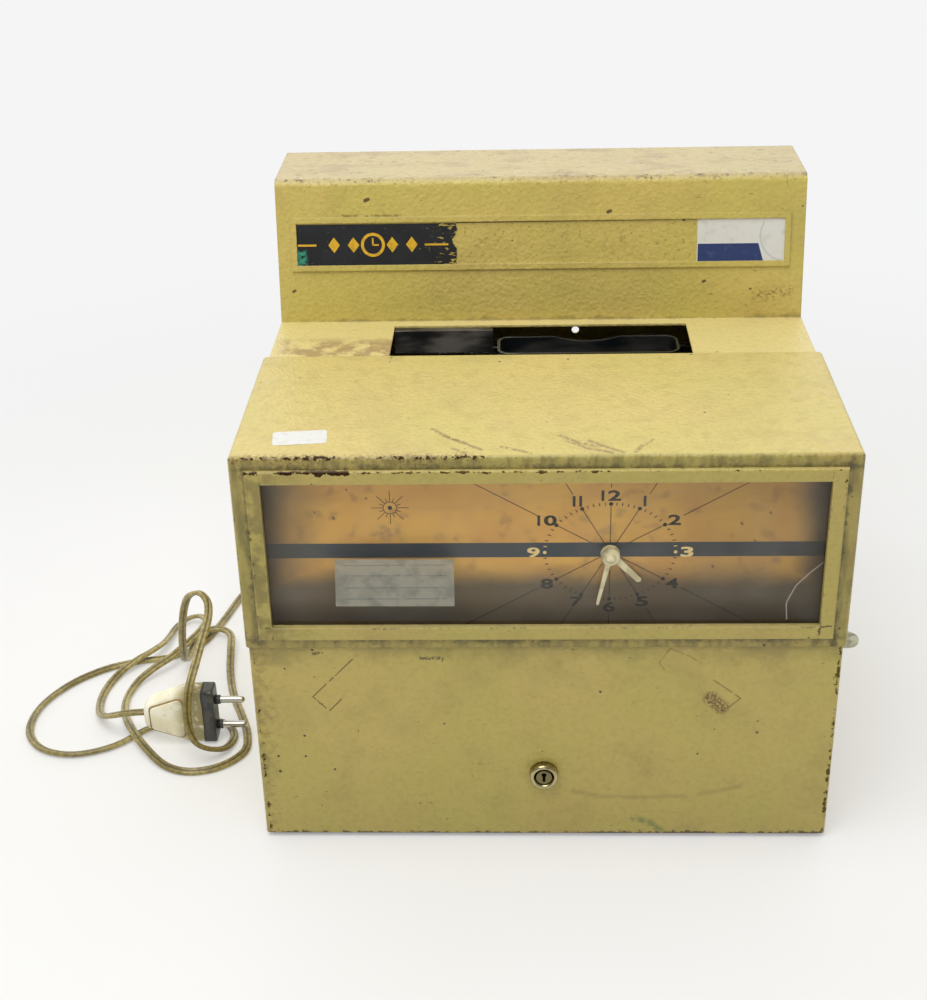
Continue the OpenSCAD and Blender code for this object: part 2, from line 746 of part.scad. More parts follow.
module hour_type_wheel() {
    x = [hour_type_x, hour_type_x + hour_type_w];
    color(steel) from_front() difference() {
        union() {
            rod_x(type_r - figure_h, x, type_d, dial_z);
            type_ring(x[0], hour_type_w);
            gear_x(hour_type_n, carry_m, type_d, dial_z, [x[1], x[1] + 2], carry_turn);
        }
        rod_x(type_shaft_r + running, [x[0] - 1, x[1] + 4], type_d, dial_z);
    }
}

// Spool on its post, with a pack of ribbon
module spool(x, pack) {
    difference() {
        union() {
            rod_z(spool_r, x, spool_d, [spool_low - 1, spool_low]);
            rod_z(spool_r, x, spool_d, [spool_high, spool_high + 1]);
            rod_z(pack, x, spool_d, [spool_low, spool_high]);
        }
        rod_z(spool_post_r + running, x, spool_d, [spool_low - 2, spool_high + 2]);
    }
}
module supply_spool() { color(dark) from_front() spool(supply_x, supply_pack_r); }
module takeup_spool() { color(dark) from_front() spool(takeup_x, takeup_pack_r); }
module ribbon() {
    z = [dial_z - ribbon_w / 2, dial_z + ribbon_w / 2];
    color(dark) from_front() {
        block([supply_x, takeup_x], [ribbon_d, ribbon_d + ribbon_t], z);
        for (s = [[supply_x, supply_pack_r], [takeup_x, takeup_pack_r]])
            block([s[0] - 2, s[0]], [spool_d + s[1] + 0.5, ribbon_d + ribbon_t], z);
    }
}

// Card pocket on its rods

module pocket_rods() {
    color(steel) from_front() for (z = rod_z) rod_x(rod_r, [-frame_x, frame_x], rod_d, z);
}
module card_pocket() {
    mid = [(pocket_left + pocket_right) / 2, pocket_d + pocket_depth / 2];
    color(dark) from_front() difference() {
        union() {
            along_z([pocket_bottom, pocket_top]) difference() {
                translate(mid) round_rect(pocket_w, pocket_depth, pocket_r);
                translate(mid)
                    round_rect(pocket_w - 2 * pocket_t, pocket_depth - 2 * pocket_t, pocket_r - pocket_t);
            }
            along_z([pocket_bottom, pocket_bottom + pocket_t]) translate(mid)
                round_rect(pocket_w - 1, pocket_depth - 1, pocket_r - 1);
            for (x = bush_x, z = rod_z)
                block([x, x + bush_w], [pocket_back_d - eps, pocket_back_d + bush_depth], [z - 7, z + 7]);
            difference() {
                block([pocket_right - eps, crank_x + 7], [selector_d + crank_len - 12, pocket_d + 14],
                    [bracket_z, bracket_z + bracket_t]);
                block([crank_x - crank_pin_r - crank_slack, crank_x + crank_pin_r + crank_slack],
                    [selector_d + crank_len - 9, selector_d + crank_len + 4],
                    [bracket_z - 1, bracket_z + bracket_t + 1]);
            }
        }
        for (z = rod_z) rod_x(rod_r + running, [pocket_left - 1, pocket_right + 1], rod_d, z);
        block([pocket_left + pocket_r, pocket_right - pocket_r], [pocket_d - 1, pocket_d + 5],
            [print_low, print_high]);
        block([pocket_left + pocket_r, pocket_right - pocket_r], [pocket_back_d - 5, pocket_back_d + 1],
            [strike_low, print_high]);
        translate([notch_x, 0, pocket_top + notch_w * notch_w / (8 * notch_drop) - notch_drop / 2])
            rod_y(notch_w * notch_w / (8 * notch_drop) + notch_drop / 2, 0, [pocket_back_d - 4, pocket_back_d + 1], 0);
    }
}
module slot_guide() {
    color(dark) from_front() {
        block([-slot_w / 2, pocket_left - 3], [pocket_back_d + 1, pocket_back_d + 2.5], [rod_z[1] + 10, shelf_under]);
        block([-slot_w / 2, pocket_left - 3], [pocket_back_d + 1, slot_back_d + 8], [shelf_under - sheet, shelf_under]);
    }
}

// Selector lever on its post

module selector_bracket() {
    color(zinc) from_front() {
        block([selector_x - 9, frame_x], [selector_d - 6, selector_d + 12], [selector_z - 5, selector_z - 3]);
        block([frame_x - 2, frame_x], [selector_d - 6, selector_d + 12], [selector_z - 20, selector_z - 5 + eps]);
        rod_z(selector_post_r, selector_x, selector_d, [selector_z - 3, selector_z + 6]);
    }
}
module selector_lever() {
    color(steel) from_front() translate([selector_x, selector_d, 0]) difference() {
        union() {
            along_z([selector_z, selector_z + selector_t]) {
                translate([0, -tongue_w / 2]) square([tongue_reach, tongue_w]);
                translate([tongue_reach, 0]) circle(tongue_w / 2);
                circle(9);
                rotate(-swing / 2) {
                    translate([-4.5, 0]) square([9, crank_len]);
                    translate([0, crank_len]) circle(5);
                }
            }
            rod_z(6, 0, 0, [selector_z - 2.7, selector_z + 4]);
            rotate(-swing / 2) rod_z(crank_pin_r, 0, crank_len, [selector_z, bracket_z + bracket_t + 2]);
        }
        rod_z(selector_post_r + running, 0, 0, [selector_z - 5, selector_z + 5]);
    }
}

// Hammer and solenoid

module hammer_shaft() {
    color(steel) from_front() rod_x(hammer_shaft_r, [-frame_x, frame_x], hammer_d, hammer_z);
}
module hammer() {
    x = [hammer_x - hammer_w / 2, hammer_x + hammer_w / 2];
    head = [hammer_x - hammer_head_w / 2, hammer_x + hammer_head_w / 2];
    color(steel) from_front() difference() {
        union() {
            rod_x(hammer_hub_r, x, hammer_d, hammer_z);
            block(x, [hammer_d - 4, hammer_d + 4], [hammer_z, hammer_z + hammer_rise + 7]);
            block(head, [hammer_d - hammer_reach, hammer_d + 4],
                [hammer_z + hammer_rise - 7, hammer_z + hammer_rise + 7]);
            block([hammer_x - 2, hammer_x + 2], [hammer_d - 3, hammer_d + 3], [plunger_z - 4, hammer_z]);
            rod_x(tail_pin_r, [hammer_x - 7, hammer_x + 7], hammer_d, plunger_z);
        }
        rod_x(hammer_shaft_r + running, [x[0] - 1, x[1] + 1], hammer_d, hammer_z);
    }
}
module hammer_spring() {
    turns = 5;
    steps = 8;
    first = hammer_x + hammer_w / 2 + 1.5;
    places = [for (i = [0:turns * steps])
        let (a = 360 * i / steps) [first + 1.6 * i / steps, hammer_d + 4.2 * cos(a), hammer_z + 4.2 * sin(a)]];
    color(steel) from_front() swept(places, 0.9, 0.9, 6);
}
module solenoid_frame() {
    x = [hammer_x - coil_r - 3, hammer_x + coil_r + 3];
    z = [plunger_z - coil_r - 3, plunger_z + coil_r + 3];
    color(zinc) from_front() difference() {
        union() {
            block(x, [coil_d - solenoid_t, coil_d], z);
            block(x, [coil_d + coil_len, coil_d + coil_len + solenoid_t], z);
            block(x, [coil_d - solenoid_t, coil_d + coil_len + solenoid_t], [z[0] - solenoid_t, z[0]]);
            block([x[0] + 4, x[1] - 4], [coil_d + 6, coil_d + coil_len - 6], [sheet, z[0]]);
        }
        rod_y(plunger_r + running, hammer_x, [coil_d - solenoid_t - 1, coil_d + 1], plunger_z);
    }
}
module solenoid_coil() {
    color([0.45, 0.22, 0.12]) from_front() difference() {
        rod_y(coil_r, hammer_x, [coil_d, coil_d + coil_len], plunger_z);
        rod_y(plunger_r + running, hammer_x, [coil_d - 1, coil_d + coil_len + 1], plunger_z);
    }
}
module solenoid_plunger() {
    gap = 0.4;
    color(steel) from_front() difference() {
        union() {
            rod_y(plunger_r, hammer_x, [hammer_d + 7, coil_d + coil_len - plunger_travel - 1], plunger_z);
            block([hammer_x - 6, hammer_x + 6], [hammer_d - 5, hammer_d + 11], [plunger_z - 5, plunger_z + 5]);
        }
        block([hammer_x - 2 - gap, hammer_x + 2 + gap], [hammer_d - 6, hammer_d + 7.5], [plunger_z - 6, plunger_z + 6]);
        block([hammer_x - 7, hammer_x + 7], [hammer_d - tail_pin_r - gap - 0.3, hammer_d + tail_pin_r + gap + 0.3],
            [plunger_z - tail_pin_r - gap, plunger_z + tail_pin_r + 2.4]);
    }
}

// Electrics

module transformer_core() {
    x = transformer_x;
    z = [sheet, sheet + transformer_h];
    color(dark) from_front() difference() {
        block(x, transformer_d, z);
        for (side = [0, 1]) block([x[0] + 9 + side * 26, x[0] + 25 + side * 26],
            [transformer_d[0] - 1, transformer_d[1] + 1], [z[0] + 11, z[1] - 11]);
    }
}
module transformer_coil() {
    x = [transformer_x[0] + 9, transformer_x[1] - 9];
    color([0.62, 0.50, 0.30]) from_front() difference() {
        block([x[0] + 0.2, x[1] - 0.2], [transformer_d[0] - 9, transformer_d[1] + 9],
            [sheet + 11.2, sheet + transformer_h - 11.2]);
        block([x[0] + 16, x[1] - 16], [transformer_d[0], transformer_d[1]],
            [sheet + 11, sheet + transformer_h - 11]);
    }
}
module terminal_block() {
    color(cream) from_front() for (i = [0:3]) difference() {
        block([exit_x + i * 12, exit_x + i * 12 + 12], terminal_d, [sheet, sheet + 16]);
        rod_z(3, exit_x + i * 12 + 6, (terminal_d[0] + terminal_d[1]) / 2, [sheet + 6, sheet + 17]);
    }
}
module inner_lead() {
    points = [[exit_x, case_depth - 6, exit_z], [exit_x, case_depth - 12, exit_z],
        [exit_x + 1, case_depth - 19, exit_z - 6], [exit_x + 3, case_depth - 23, exit_z - 16],
        [exit_x + 5, case_depth - 27, sheet + 12], [exit_x + 6, case_depth - 30, sheet + 9],
        [exit_x + 6, terminal_d[1], sheet + 9]];
    color(khaki) from_front() swept(points, cord_w, cord_t, 8);
}
module cord_grommet() {
    d = [case_depth - 6, case_depth + grommet_out];
    color(dark) from_front() translate([exit_x, 0, exit_z]) rotate([-90, 0, 0]) rotate_extrude()
        polygon([[0, d[0]], [grommet_r, d[0]], [grommet_r, case_depth - sheet], [grommet_r - 2, case_depth - sheet],
            [grommet_r - 2, case_depth], [grommet_r, case_depth], [grommet_r, case_depth + 2], [4.2, d[1]], [0, d[1]]]);
}

// Front cover

module hood_block(inset) {
    w = hood_w / 2 - inset;
    r = hood_edge_r - inset;
    top = hood_top - inset;
    intersection() {
        along_x([-w, w]) polygon(rounded([[inset, hood_bottom - 5 * inset], [inset, top],
            [hood_depth + 5 * inset, top], [hood_depth + 5 * inset, hood_bottom - 5 * inset]], [0, r, 0, 0]));
        along_z([0, hood_top + 1]) polygon(rounded([[-w, inset], [w, inset],
            [w, hood_depth + 10], [-w, hood_depth + 10]], [r, r, 0, 0]));
        along_d([-1, hood_depth + 10]) polygon(rounded([[-w, 0], [w, 0], [w, top], [-w, top]], [0, 0, r, r]));
    }
}
module hood() {
    color(enamel) from_front() difference() {
        hood_block(0);
        hood_block(sheet);
        block([-window_w / 2, window_w / 2], [-1, sheet + 1], [window_bottom, window_top]);
    }
}
module bezel_frame() {
    r = 1.2;
    w = bezel_w / 2;
    color(enamel) from_front() difference() {
        intersection() {
            block([-w, w], [-bezel_proud, 0], [bezel_low, bezel_high]);
            along_x([-w, w]) polygon(rounded([[0, bezel_low], [-bezel_proud, bezel_low], [-bezel_proud, bezel_high],
                [0, bezel_high]], [0, r, r, 0], 4));
            along_z([bezel_low, bezel_high]) polygon(rounded([[-w, 0], [-w, -bezel_proud], [w, -bezel_proud], [w, 0]],
                [0, r, r, 0], 4));
        }
        block([-window_w / 2, window_w / 2], [-bezel_proud - 1, 1], [window_bottom, window_top]);
    }
}
module window_pane() {
    color([0.75, 0.72, 0.62, 0.3]) from_front() block([-window_w / 2 - pane_lap, window_w / 2 + pane_lap],
        [pane_d, pane_d + pane_t], [window_bottom - pane_lap, window_top + pane_lap]);
}
module pane_clips() {
    back = pane_d + pane_t;
    edge = window_w / 2 + pane_lap;
    color(zinc) from_front() {
        both_sides() for (z = [window_bottom + 12, window_top - 24]) {
            block([edge + 0.3, edge + 8], [pane_d, pane_d + 1], [z, z + clip_size]);
            block([edge + 0.3, edge + 1.3], [pane_d, back + 1], [z, z + clip_size]);
            block([edge - 2, edge + 1.3], [back, back + 1], [z, z + clip_size]);
        }
        both_sides() for (x = [window_w * 0.1, window_w * 0.37]) {
            top = window_top + pane_lap;
            block([x, x + clip_size], [pane_d, pane_d + 1], [top + 0.3, top + 6]);
            block([x, x + clip_size], [pane_d, back + 1], [top + 0.3, top + 1.3]);
            block([x, x + clip_size], [back, back + 1], [top - 2, top + 1.3]);
        }
    }
}
module front_panel() {
    w = panel_w / 2;
    top = window_bottom - pane_lap - 1;
    color(enamel) from_front() difference() {
        along_z([panel_bottom, top]) difference() {
            polygon(rounded([[-w, sheet], [w, sheet], [w, panel_return], [-w, panel_return]], [2, 2, 0, 0]));
            polygon(rounded([[sheet - w, 2 * sheet], [w - sheet, 2 * sheet], [w - sheet, panel_return + 1],
                [sheet - w, panel_return + 1]], [0.5, 0.5, 0, 0]));
        }
        rod_y(lock_body_r, lock_x, [0, 10], lock_z);
    }
}
module hinge_arms() {
    out = arm_in_r + arm_w;
    x = [arm_x, arm_x + arm_t];
    lift = hood_top - sheet - hinge_z;
    far = 2 * out;
    color(zinc) from_front() both_sides() {
        translate([0, hinge_d, hinge_z]) along_x(x) difference() {
            union() {
                intersection() {
                    difference() { circle(out); circle(arm_in_r); }
                    polygon([[0, 0], [-far, 0], [-far, -far], [far * tan(20), -far]]);
                }
                rotate(-72) translate([0, -4]) square([arm_in_r + 4, 8]);
                circle(hinge_pin_r + 3);
                translate([-out, 0]) square([arm_w, lift]);
            }
            circle(hinge_pin_r + running);
        }
        block([arm_x - 14, arm_x + arm_t], [hinge_d - out, hinge_d - arm_in_r],
            [hood_top - 2 * sheet, hood_top - sheet]);
    }
}
module hinge_ears() {
    x = [frame_x + frame_t + 1, arm_x - 0.3];
    color(zinc) from_front() both_sides() {
        difference() {
            block(x, [hinge_d - 7, hinge_d + 7], [hinge_z - 7, shelf_under]);
            rod_x(hinge_pin_r, [x[0] - 1, x[1] + 1], hinge_d, hinge_z);
        }
        block([x[0] - 12, x[1]], [hinge_d - 7, hinge_d + 7], [shelf_under - 2, shelf_under]);
    }
}
module hinge_pins() {
    color(steel) from_front() both_sides() {
        rod_x(hinge_pin_r, [frame_x + frame_t + 1, housing_in], hinge_d, hinge_z);
        rod_x(hinge_pin_r + 2.4, [arm_x + arm_t + 0.3, housing_in], hinge_d, hinge_z);
    }
}

// Lock in the front panel

module lock_body() {
    color(brass) from_front() difference() {
        union() {
            rod_y(lock_head_r, lock_x, [sheet - lock_proud + 1.2, sheet], lock_z);
            rod_y(lock_head_r - 1, lock_x, [sheet - lock_proud, sheet - lock_proud + 1.2 + eps], lock_z);
            rod_y(lock_body_r, lock_x, [0, lock_body_end_d], lock_z);
        }
        rod_y(lock_plug_r + running, lock_x, [-9, lock_body_end_d + 1], lock_z);
    }
}
module lock_nut() {
    color(steel) from_front() difference() {
        translate([lock_x, 2 * sheet + nut_t, lock_z]) rotate([90, 0, 0])
            cylinder(r = lock_body_r + 4, h = nut_t, $fn = 6);
        rod_y(lock_body_r, lock_x, [0, 20], lock_z);
    }
}
module lock_plug() {
    face = sheet - lock_proud + 1;
    color(brass) from_front() difference() {
        union() {
            rod_y(lock_plug_r, lock_x, [face, lock_body_end_d + 0.3], lock_z);
            block([lock_x - 2.5, lock_x + 2.5], [lock_body_end_d, lock_body_end_d + 0.3 + cam_t],
                [lock_z - 2.5, lock_z + 2.5]);
        }
        block([lock_x - keyway_w / 2, lock_x + keyway_w / 2], [face - 1, face + 7],
            [lock_z - keyway_h / 2, lock_z + keyway_h / 2]);
        rod_y(1.4, lock_x, [face - 1, face + 7], lock_z + keyway_h / 2 - 1.2);
    }
}
module lock_cam() {
    d = [lock_body_end_d + 0.3, lock_body_end_d + 0.3 + cam_t];
    color(steel) from_front() difference() {
        union() {
            rod_y(cam_w / 2 + 1, lock_x, d, lock_z);
            block([lock_x, lock_x + cam_len], d, [lock_z - cam_w / 2, lock_z + cam_w / 2]);
        }
        block([lock_x - 2.5, lock_x + 2.5], [d[0] - 1, d[1] + 1], [lock_z - 2.5, lock_z + 2.5]);
    }
}

// Cord and plug

module cord() { color(khaki) from_front() swept(CORD_ROUTE, cord_w, cord_t, 8); }

module plug_body() {
    mid = plug_high / 2;
    color(cream) from_front() difference() {
        union() {
            along_d([plug_d - plug_depth / 2, plug_d + plug_depth / 2]) polygon(rounded([
                [plug_x, mid - plug_neck_h / 2], [plug_base_x, plug_low], [plug_face_x - 8, plug_low],
                [plug_face_x - 8, plug_high], [plug_base_x, plug_high], [plug_x, mid + plug_neck_h / 2]],
                [3, 6, 0, 0, 6, 3]));
            along_d([plug_d - plug_depth / 2 - 1.2, plug_d]) polygon(rounded([
                [plug_x + 5, mid - plug_neck_h / 2], [plug_base_x, 6], [plug_base_x + 4, 6],
                [plug_base_x + 4, plug_high - 6], [plug_base_x, plug_high - 6], [plug_x + 5, mid + plug_neck_h / 2]],
                [2, 3, 2, 2, 3, 2]));
            block([plug_face_x - 8, plug_face_x], [plug_d - plug_depth / 2 + 1, plug_d + plug_depth / 2 - 1],
                [plug_low, plug_high]);
        }
        for (s = [-1, 1]) rod_x(pin_r, [plug_face_x - 10, plug_face_x + 1], plug_d, mid + s * pin_pitch / 2);
    }
}
module plug_pins() {
    color(steel) from_front() for (s = [-1, 1]) {
        z = plug_high / 2 + s * pin_pitch / 2;
        rod_x(pin_r, [plug_face_x - 10, plug_face_x + pin_len - pin_r], plug_d, z);
        translate([plug_face_x + pin_len - pin_r, plug_d, z]) sphere(r = pin_r);
    }
}

base_tray();
rear_housing();
rear_panel();
housing_screws();
frame_left();
frame_right();
frame_screws();
tie_rods();
chassis_plate();
back_plate();
plate_pillars();
dial_plate();
dial_posts();
drive_motor();
print_beam();
print_bracket();
type_shaft();
ribbon();
pocket_rods();
hammer_shaft();
hammer_spring();
solenoid_frame();
solenoid_coil();
transformer_core();
transformer_coil();
terminal_block();
inner_lead();
cord_grommet();
slot_guide();
hinge_ears();
hinge_pins();
selector_bracket();
hood();
bezel_frame();
window_pane();
pane_clips();
front_panel();
hinge_arms();
lock_body();
lock_nut();
lock_plug();
lock_cam();
minute_arbor();
minute_hand();
hour_wheel();
hour_hand();
minute_wheel();
motor_pinion();
minute_type_wheel();
carry_wheel();
hour_type_wheel();
supply_spool();
takeup_spool();
hammer();
solenoid_plunger();
card_pocket();
selector_lever();
cord();
plug_body();
plug_pins();
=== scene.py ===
"""Employee time clock: its finishes, printed dial, labels, lock, cord and plug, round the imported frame."""
import math
from functools import reduce

import bmesh
import bpy
import numpy as np
from mathutils import Matrix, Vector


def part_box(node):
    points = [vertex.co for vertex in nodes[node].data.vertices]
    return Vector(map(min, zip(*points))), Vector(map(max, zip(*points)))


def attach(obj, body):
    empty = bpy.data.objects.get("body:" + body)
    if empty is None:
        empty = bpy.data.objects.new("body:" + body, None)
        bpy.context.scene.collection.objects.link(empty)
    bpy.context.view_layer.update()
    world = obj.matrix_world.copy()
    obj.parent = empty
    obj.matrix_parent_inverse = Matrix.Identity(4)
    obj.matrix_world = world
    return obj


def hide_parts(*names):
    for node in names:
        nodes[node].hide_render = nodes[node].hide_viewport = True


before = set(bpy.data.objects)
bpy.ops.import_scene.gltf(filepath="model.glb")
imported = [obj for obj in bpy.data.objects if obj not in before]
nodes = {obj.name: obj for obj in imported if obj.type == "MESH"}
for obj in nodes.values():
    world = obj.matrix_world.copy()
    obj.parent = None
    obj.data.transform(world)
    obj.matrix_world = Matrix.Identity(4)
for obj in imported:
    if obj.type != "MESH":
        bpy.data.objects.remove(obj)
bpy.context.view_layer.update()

MM = 0.001

# Directions: across to the right, to the rear, up, and out towards the camera
ALONG = (1.0, 0.0, 0.0)
REARWARD = (0.0, 1.0, 0.0)
UPRIGHT = (0.0, 0.0, 1.0)
FORWARD = (0.0, -1.0, 0.0)

# Faces of the case in millimetres: Y of the faces that look forward, and the hood's top and half width
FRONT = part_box("hood")[0].y / MM
HOOD_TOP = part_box("hood")[1].z / MM
PANEL_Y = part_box("front_panel")[0].y / MM
BEZEL_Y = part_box("bezel_frame")[0].y / MM
DIAL_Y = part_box("dial_plate")[0].y / MM
GLASS_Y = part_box("window_pane")[0].y / MM
HALF_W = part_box("hood")[1].x / MM

# Tower's face: depth and height of its foot and of its upper edge
TOWER_FOOT = (196.5, 248.1)
TOWER_HEAD = (210.7, 334.5)

# Dial: its centre, the hours' oval and the numerals' oval by half widths and half heights, and its dark band
DIAL_X, DIAL_Z = 35.7, 186.0
HOURS_OVAL = (35.2, 29.4)
NUMERALS_OVAL = (41.3, 34.4)
BAND_Z = 187.6
BAND_HALF = 4.4


def at_front(x, z, y=None):
    """A point on a face that looks forward, the hood's unless y says which."""
    return (x, FRONT if y is None else y, z)


def on_panel(places):
    """Points on the front panel."""
    return [at_front(x, z, PANEL_Y) for x, z in places]


def on_top(x, depth):
    """A point on the hood's top, by its depth behind the hood's face."""
    return (x, FRONT + depth, HOOD_TOP)


def slope_axes():
    """The tower's face as an origin and unit vectors: across, up the slope, and out of the face."""
    rise = np.array([0, TOWER_HEAD[0] - TOWER_FOOT[0], TOWER_HEAD[1] - TOWER_FOOT[1]])
    up = rise / np.linalg.norm(rise)
    return np.array([0, FRONT + TOWER_FOOT[0], TOWER_FOOT[1]]), np.array(ALONG), up, np.cross(ALONG, up)


def on_slope(x, up):
    """A point on the tower's face, by its distance up the slope from the foot."""
    origin, across, rise, _ = slope_axes()
    return tuple(origin + x * across + up * rise)


def stand(holder, right, up, back, at):
    """Links an object at a place, with its own axes along three unit vectors."""
    place = Matrix.Identity(4)
    for row in range(3):
        place[row][0], place[row][1], place[row][2], place[row][3] = right[row], up[row], back[row], at[row]
    holder.matrix_world = place
    bpy.context.scene.collection.objects.link(holder)


# Camera, at the photograph's place: its lens, its place, and its pitch, yaw and roll in degrees are worked out
# from the case's straight edges
PHOTO_H = 1000
LENS_PX = 1615.3
LENS_SHIFT = 0.0027
SENSOR = 36
CAMERA_AT = (-0.0109, -0.8862, 0.6171)
CAMERA_TURN = (27.66, -2.50, -1.51)


def make_camera():
    """A camera that looks along its pitch below level and its yaw off +Y, then rolls about its own axis."""
    camera = bpy.data.cameras.new("camera")
    camera.sensor_fit = "VERTICAL"
    camera.sensor_height = SENSOR
    camera.lens = LENS_PX * SENSOR / PHOTO_H
    camera.shift_x = LENS_SHIFT
    pitch, yaw, roll = map(math.radians, CAMERA_TURN)
    ahead = np.array([math.sin(yaw) * math.cos(pitch), math.cos(yaw) * math.cos(pitch), -math.sin(pitch)])
    level = np.array([math.cos(yaw), -math.sin(yaw), 0])
    upright = np.cross(level, ahead)
    right = math.cos(roll) * level + math.sin(roll) * upright
    up = -math.sin(roll) * level + math.cos(roll) * upright
    holder = bpy.data.objects.new("camera", camera)
    stand(holder, right, up, -ahead, CAMERA_AT)
    bpy.context.scene.camera = holder


make_camera()


# Nodes and colours

def rgb(code):
    """The linear colour of an sRGB hex value."""
    parts = [int(code[i:i + 2], 16) / 255 for i in (0, 2, 4)]
    return tuple(v / 12.92 if v <= 0.04045 else ((v + 0.055) / 1.055) ** 2.4 for v in parts) + (1.0,)


class Value:
    """An output in a node tree. Arithmetic on it adds nodes: | is the larger of two values, & the smaller."""

    def __init__(self, home, socket):
        self.home, self.socket = home, socket

    def part(self, axis):
        """Its X, Y or Z."""
        return self.home.add("SeparateXYZ", {0: self}, out=axis)

    def other(self, name):
        """Another output of the same node."""
        return Value(self.home, self.socket.node.outputs[name])

    def ramp(self, low, high, to_low=0.0, to_high=1.0, smooth=False):
        """Its range from low to high mapped onto another, 0 to 1 by default, and held at both ends."""
        inputs = {"Value": self, "From Min": low, "From Max": high, "To Min": to_low, "To Max": to_high}
        return self.home.add("MapRange", inputs, interpolation_type="SMOOTHSTEP" if smooth else "LINEAR")


ARITHMETIC = {"__add__": "ADD", "__sub__": "SUBTRACT", "__mul__": "MULTIPLY", "__pow__": "POWER",
              "__or__": "MAXIMUM", "__and__": "MINIMUM"}
for name, how in ARITHMETIC.items():
    setattr(Value, name, lambda self, other, how=how: self.home.math(how, self, other))
Value.__rsub__ = lambda self, other: self.home.math("SUBTRACT", other, self)


def any_of(masks):
    """The largest of some masks at each place."""
    return reduce(lambda one, two: one | two, masks)


class Tree:
    """A node tree and the ways to add to it. A colour is given as its sRGB hex value."""

    def __init__(self, tree):
        self.tree = tree

    def fill(self, node, inputs):
        """Sets or links a node's inputs."""
        for name, value in inputs.items():
            if isinstance(value, Value):
                self.tree.links.new(value.socket, node.inputs[name])
            else:
                node.inputs[name].default_value = rgb(value) if isinstance(value, str) else value

    def add(self, kind, inputs=None, out=0, **settings):
        """Adds a shader node, applies its settings, fills its inputs, and returns one of its outputs."""
        node = self.tree.nodes.new("ShaderNode" + kind)
        for name, value in settings.items():
            setattr(node, name, value)
        self.fill(node, inputs or {})
        return Value(self, node.outputs[out])

    def math(self, how, first, second):
        return self.add("Math", {0: first, 1: second}, operation=how)

    def vector(self, how, *inputs, out=0):
        return self.add("VectorMath", dict(enumerate(inputs)), out=out, operation=how)

    def scaled(self, vector, by):
        return self.add("VectorMath", {0: vector, "Scale": by}, operation="SCALE")

    def blend(self, mask, under, top):
        """The top shader over the under one where the mask is 1."""
        return self.add("MixShader", {0: mask, 1: under, 2: top})


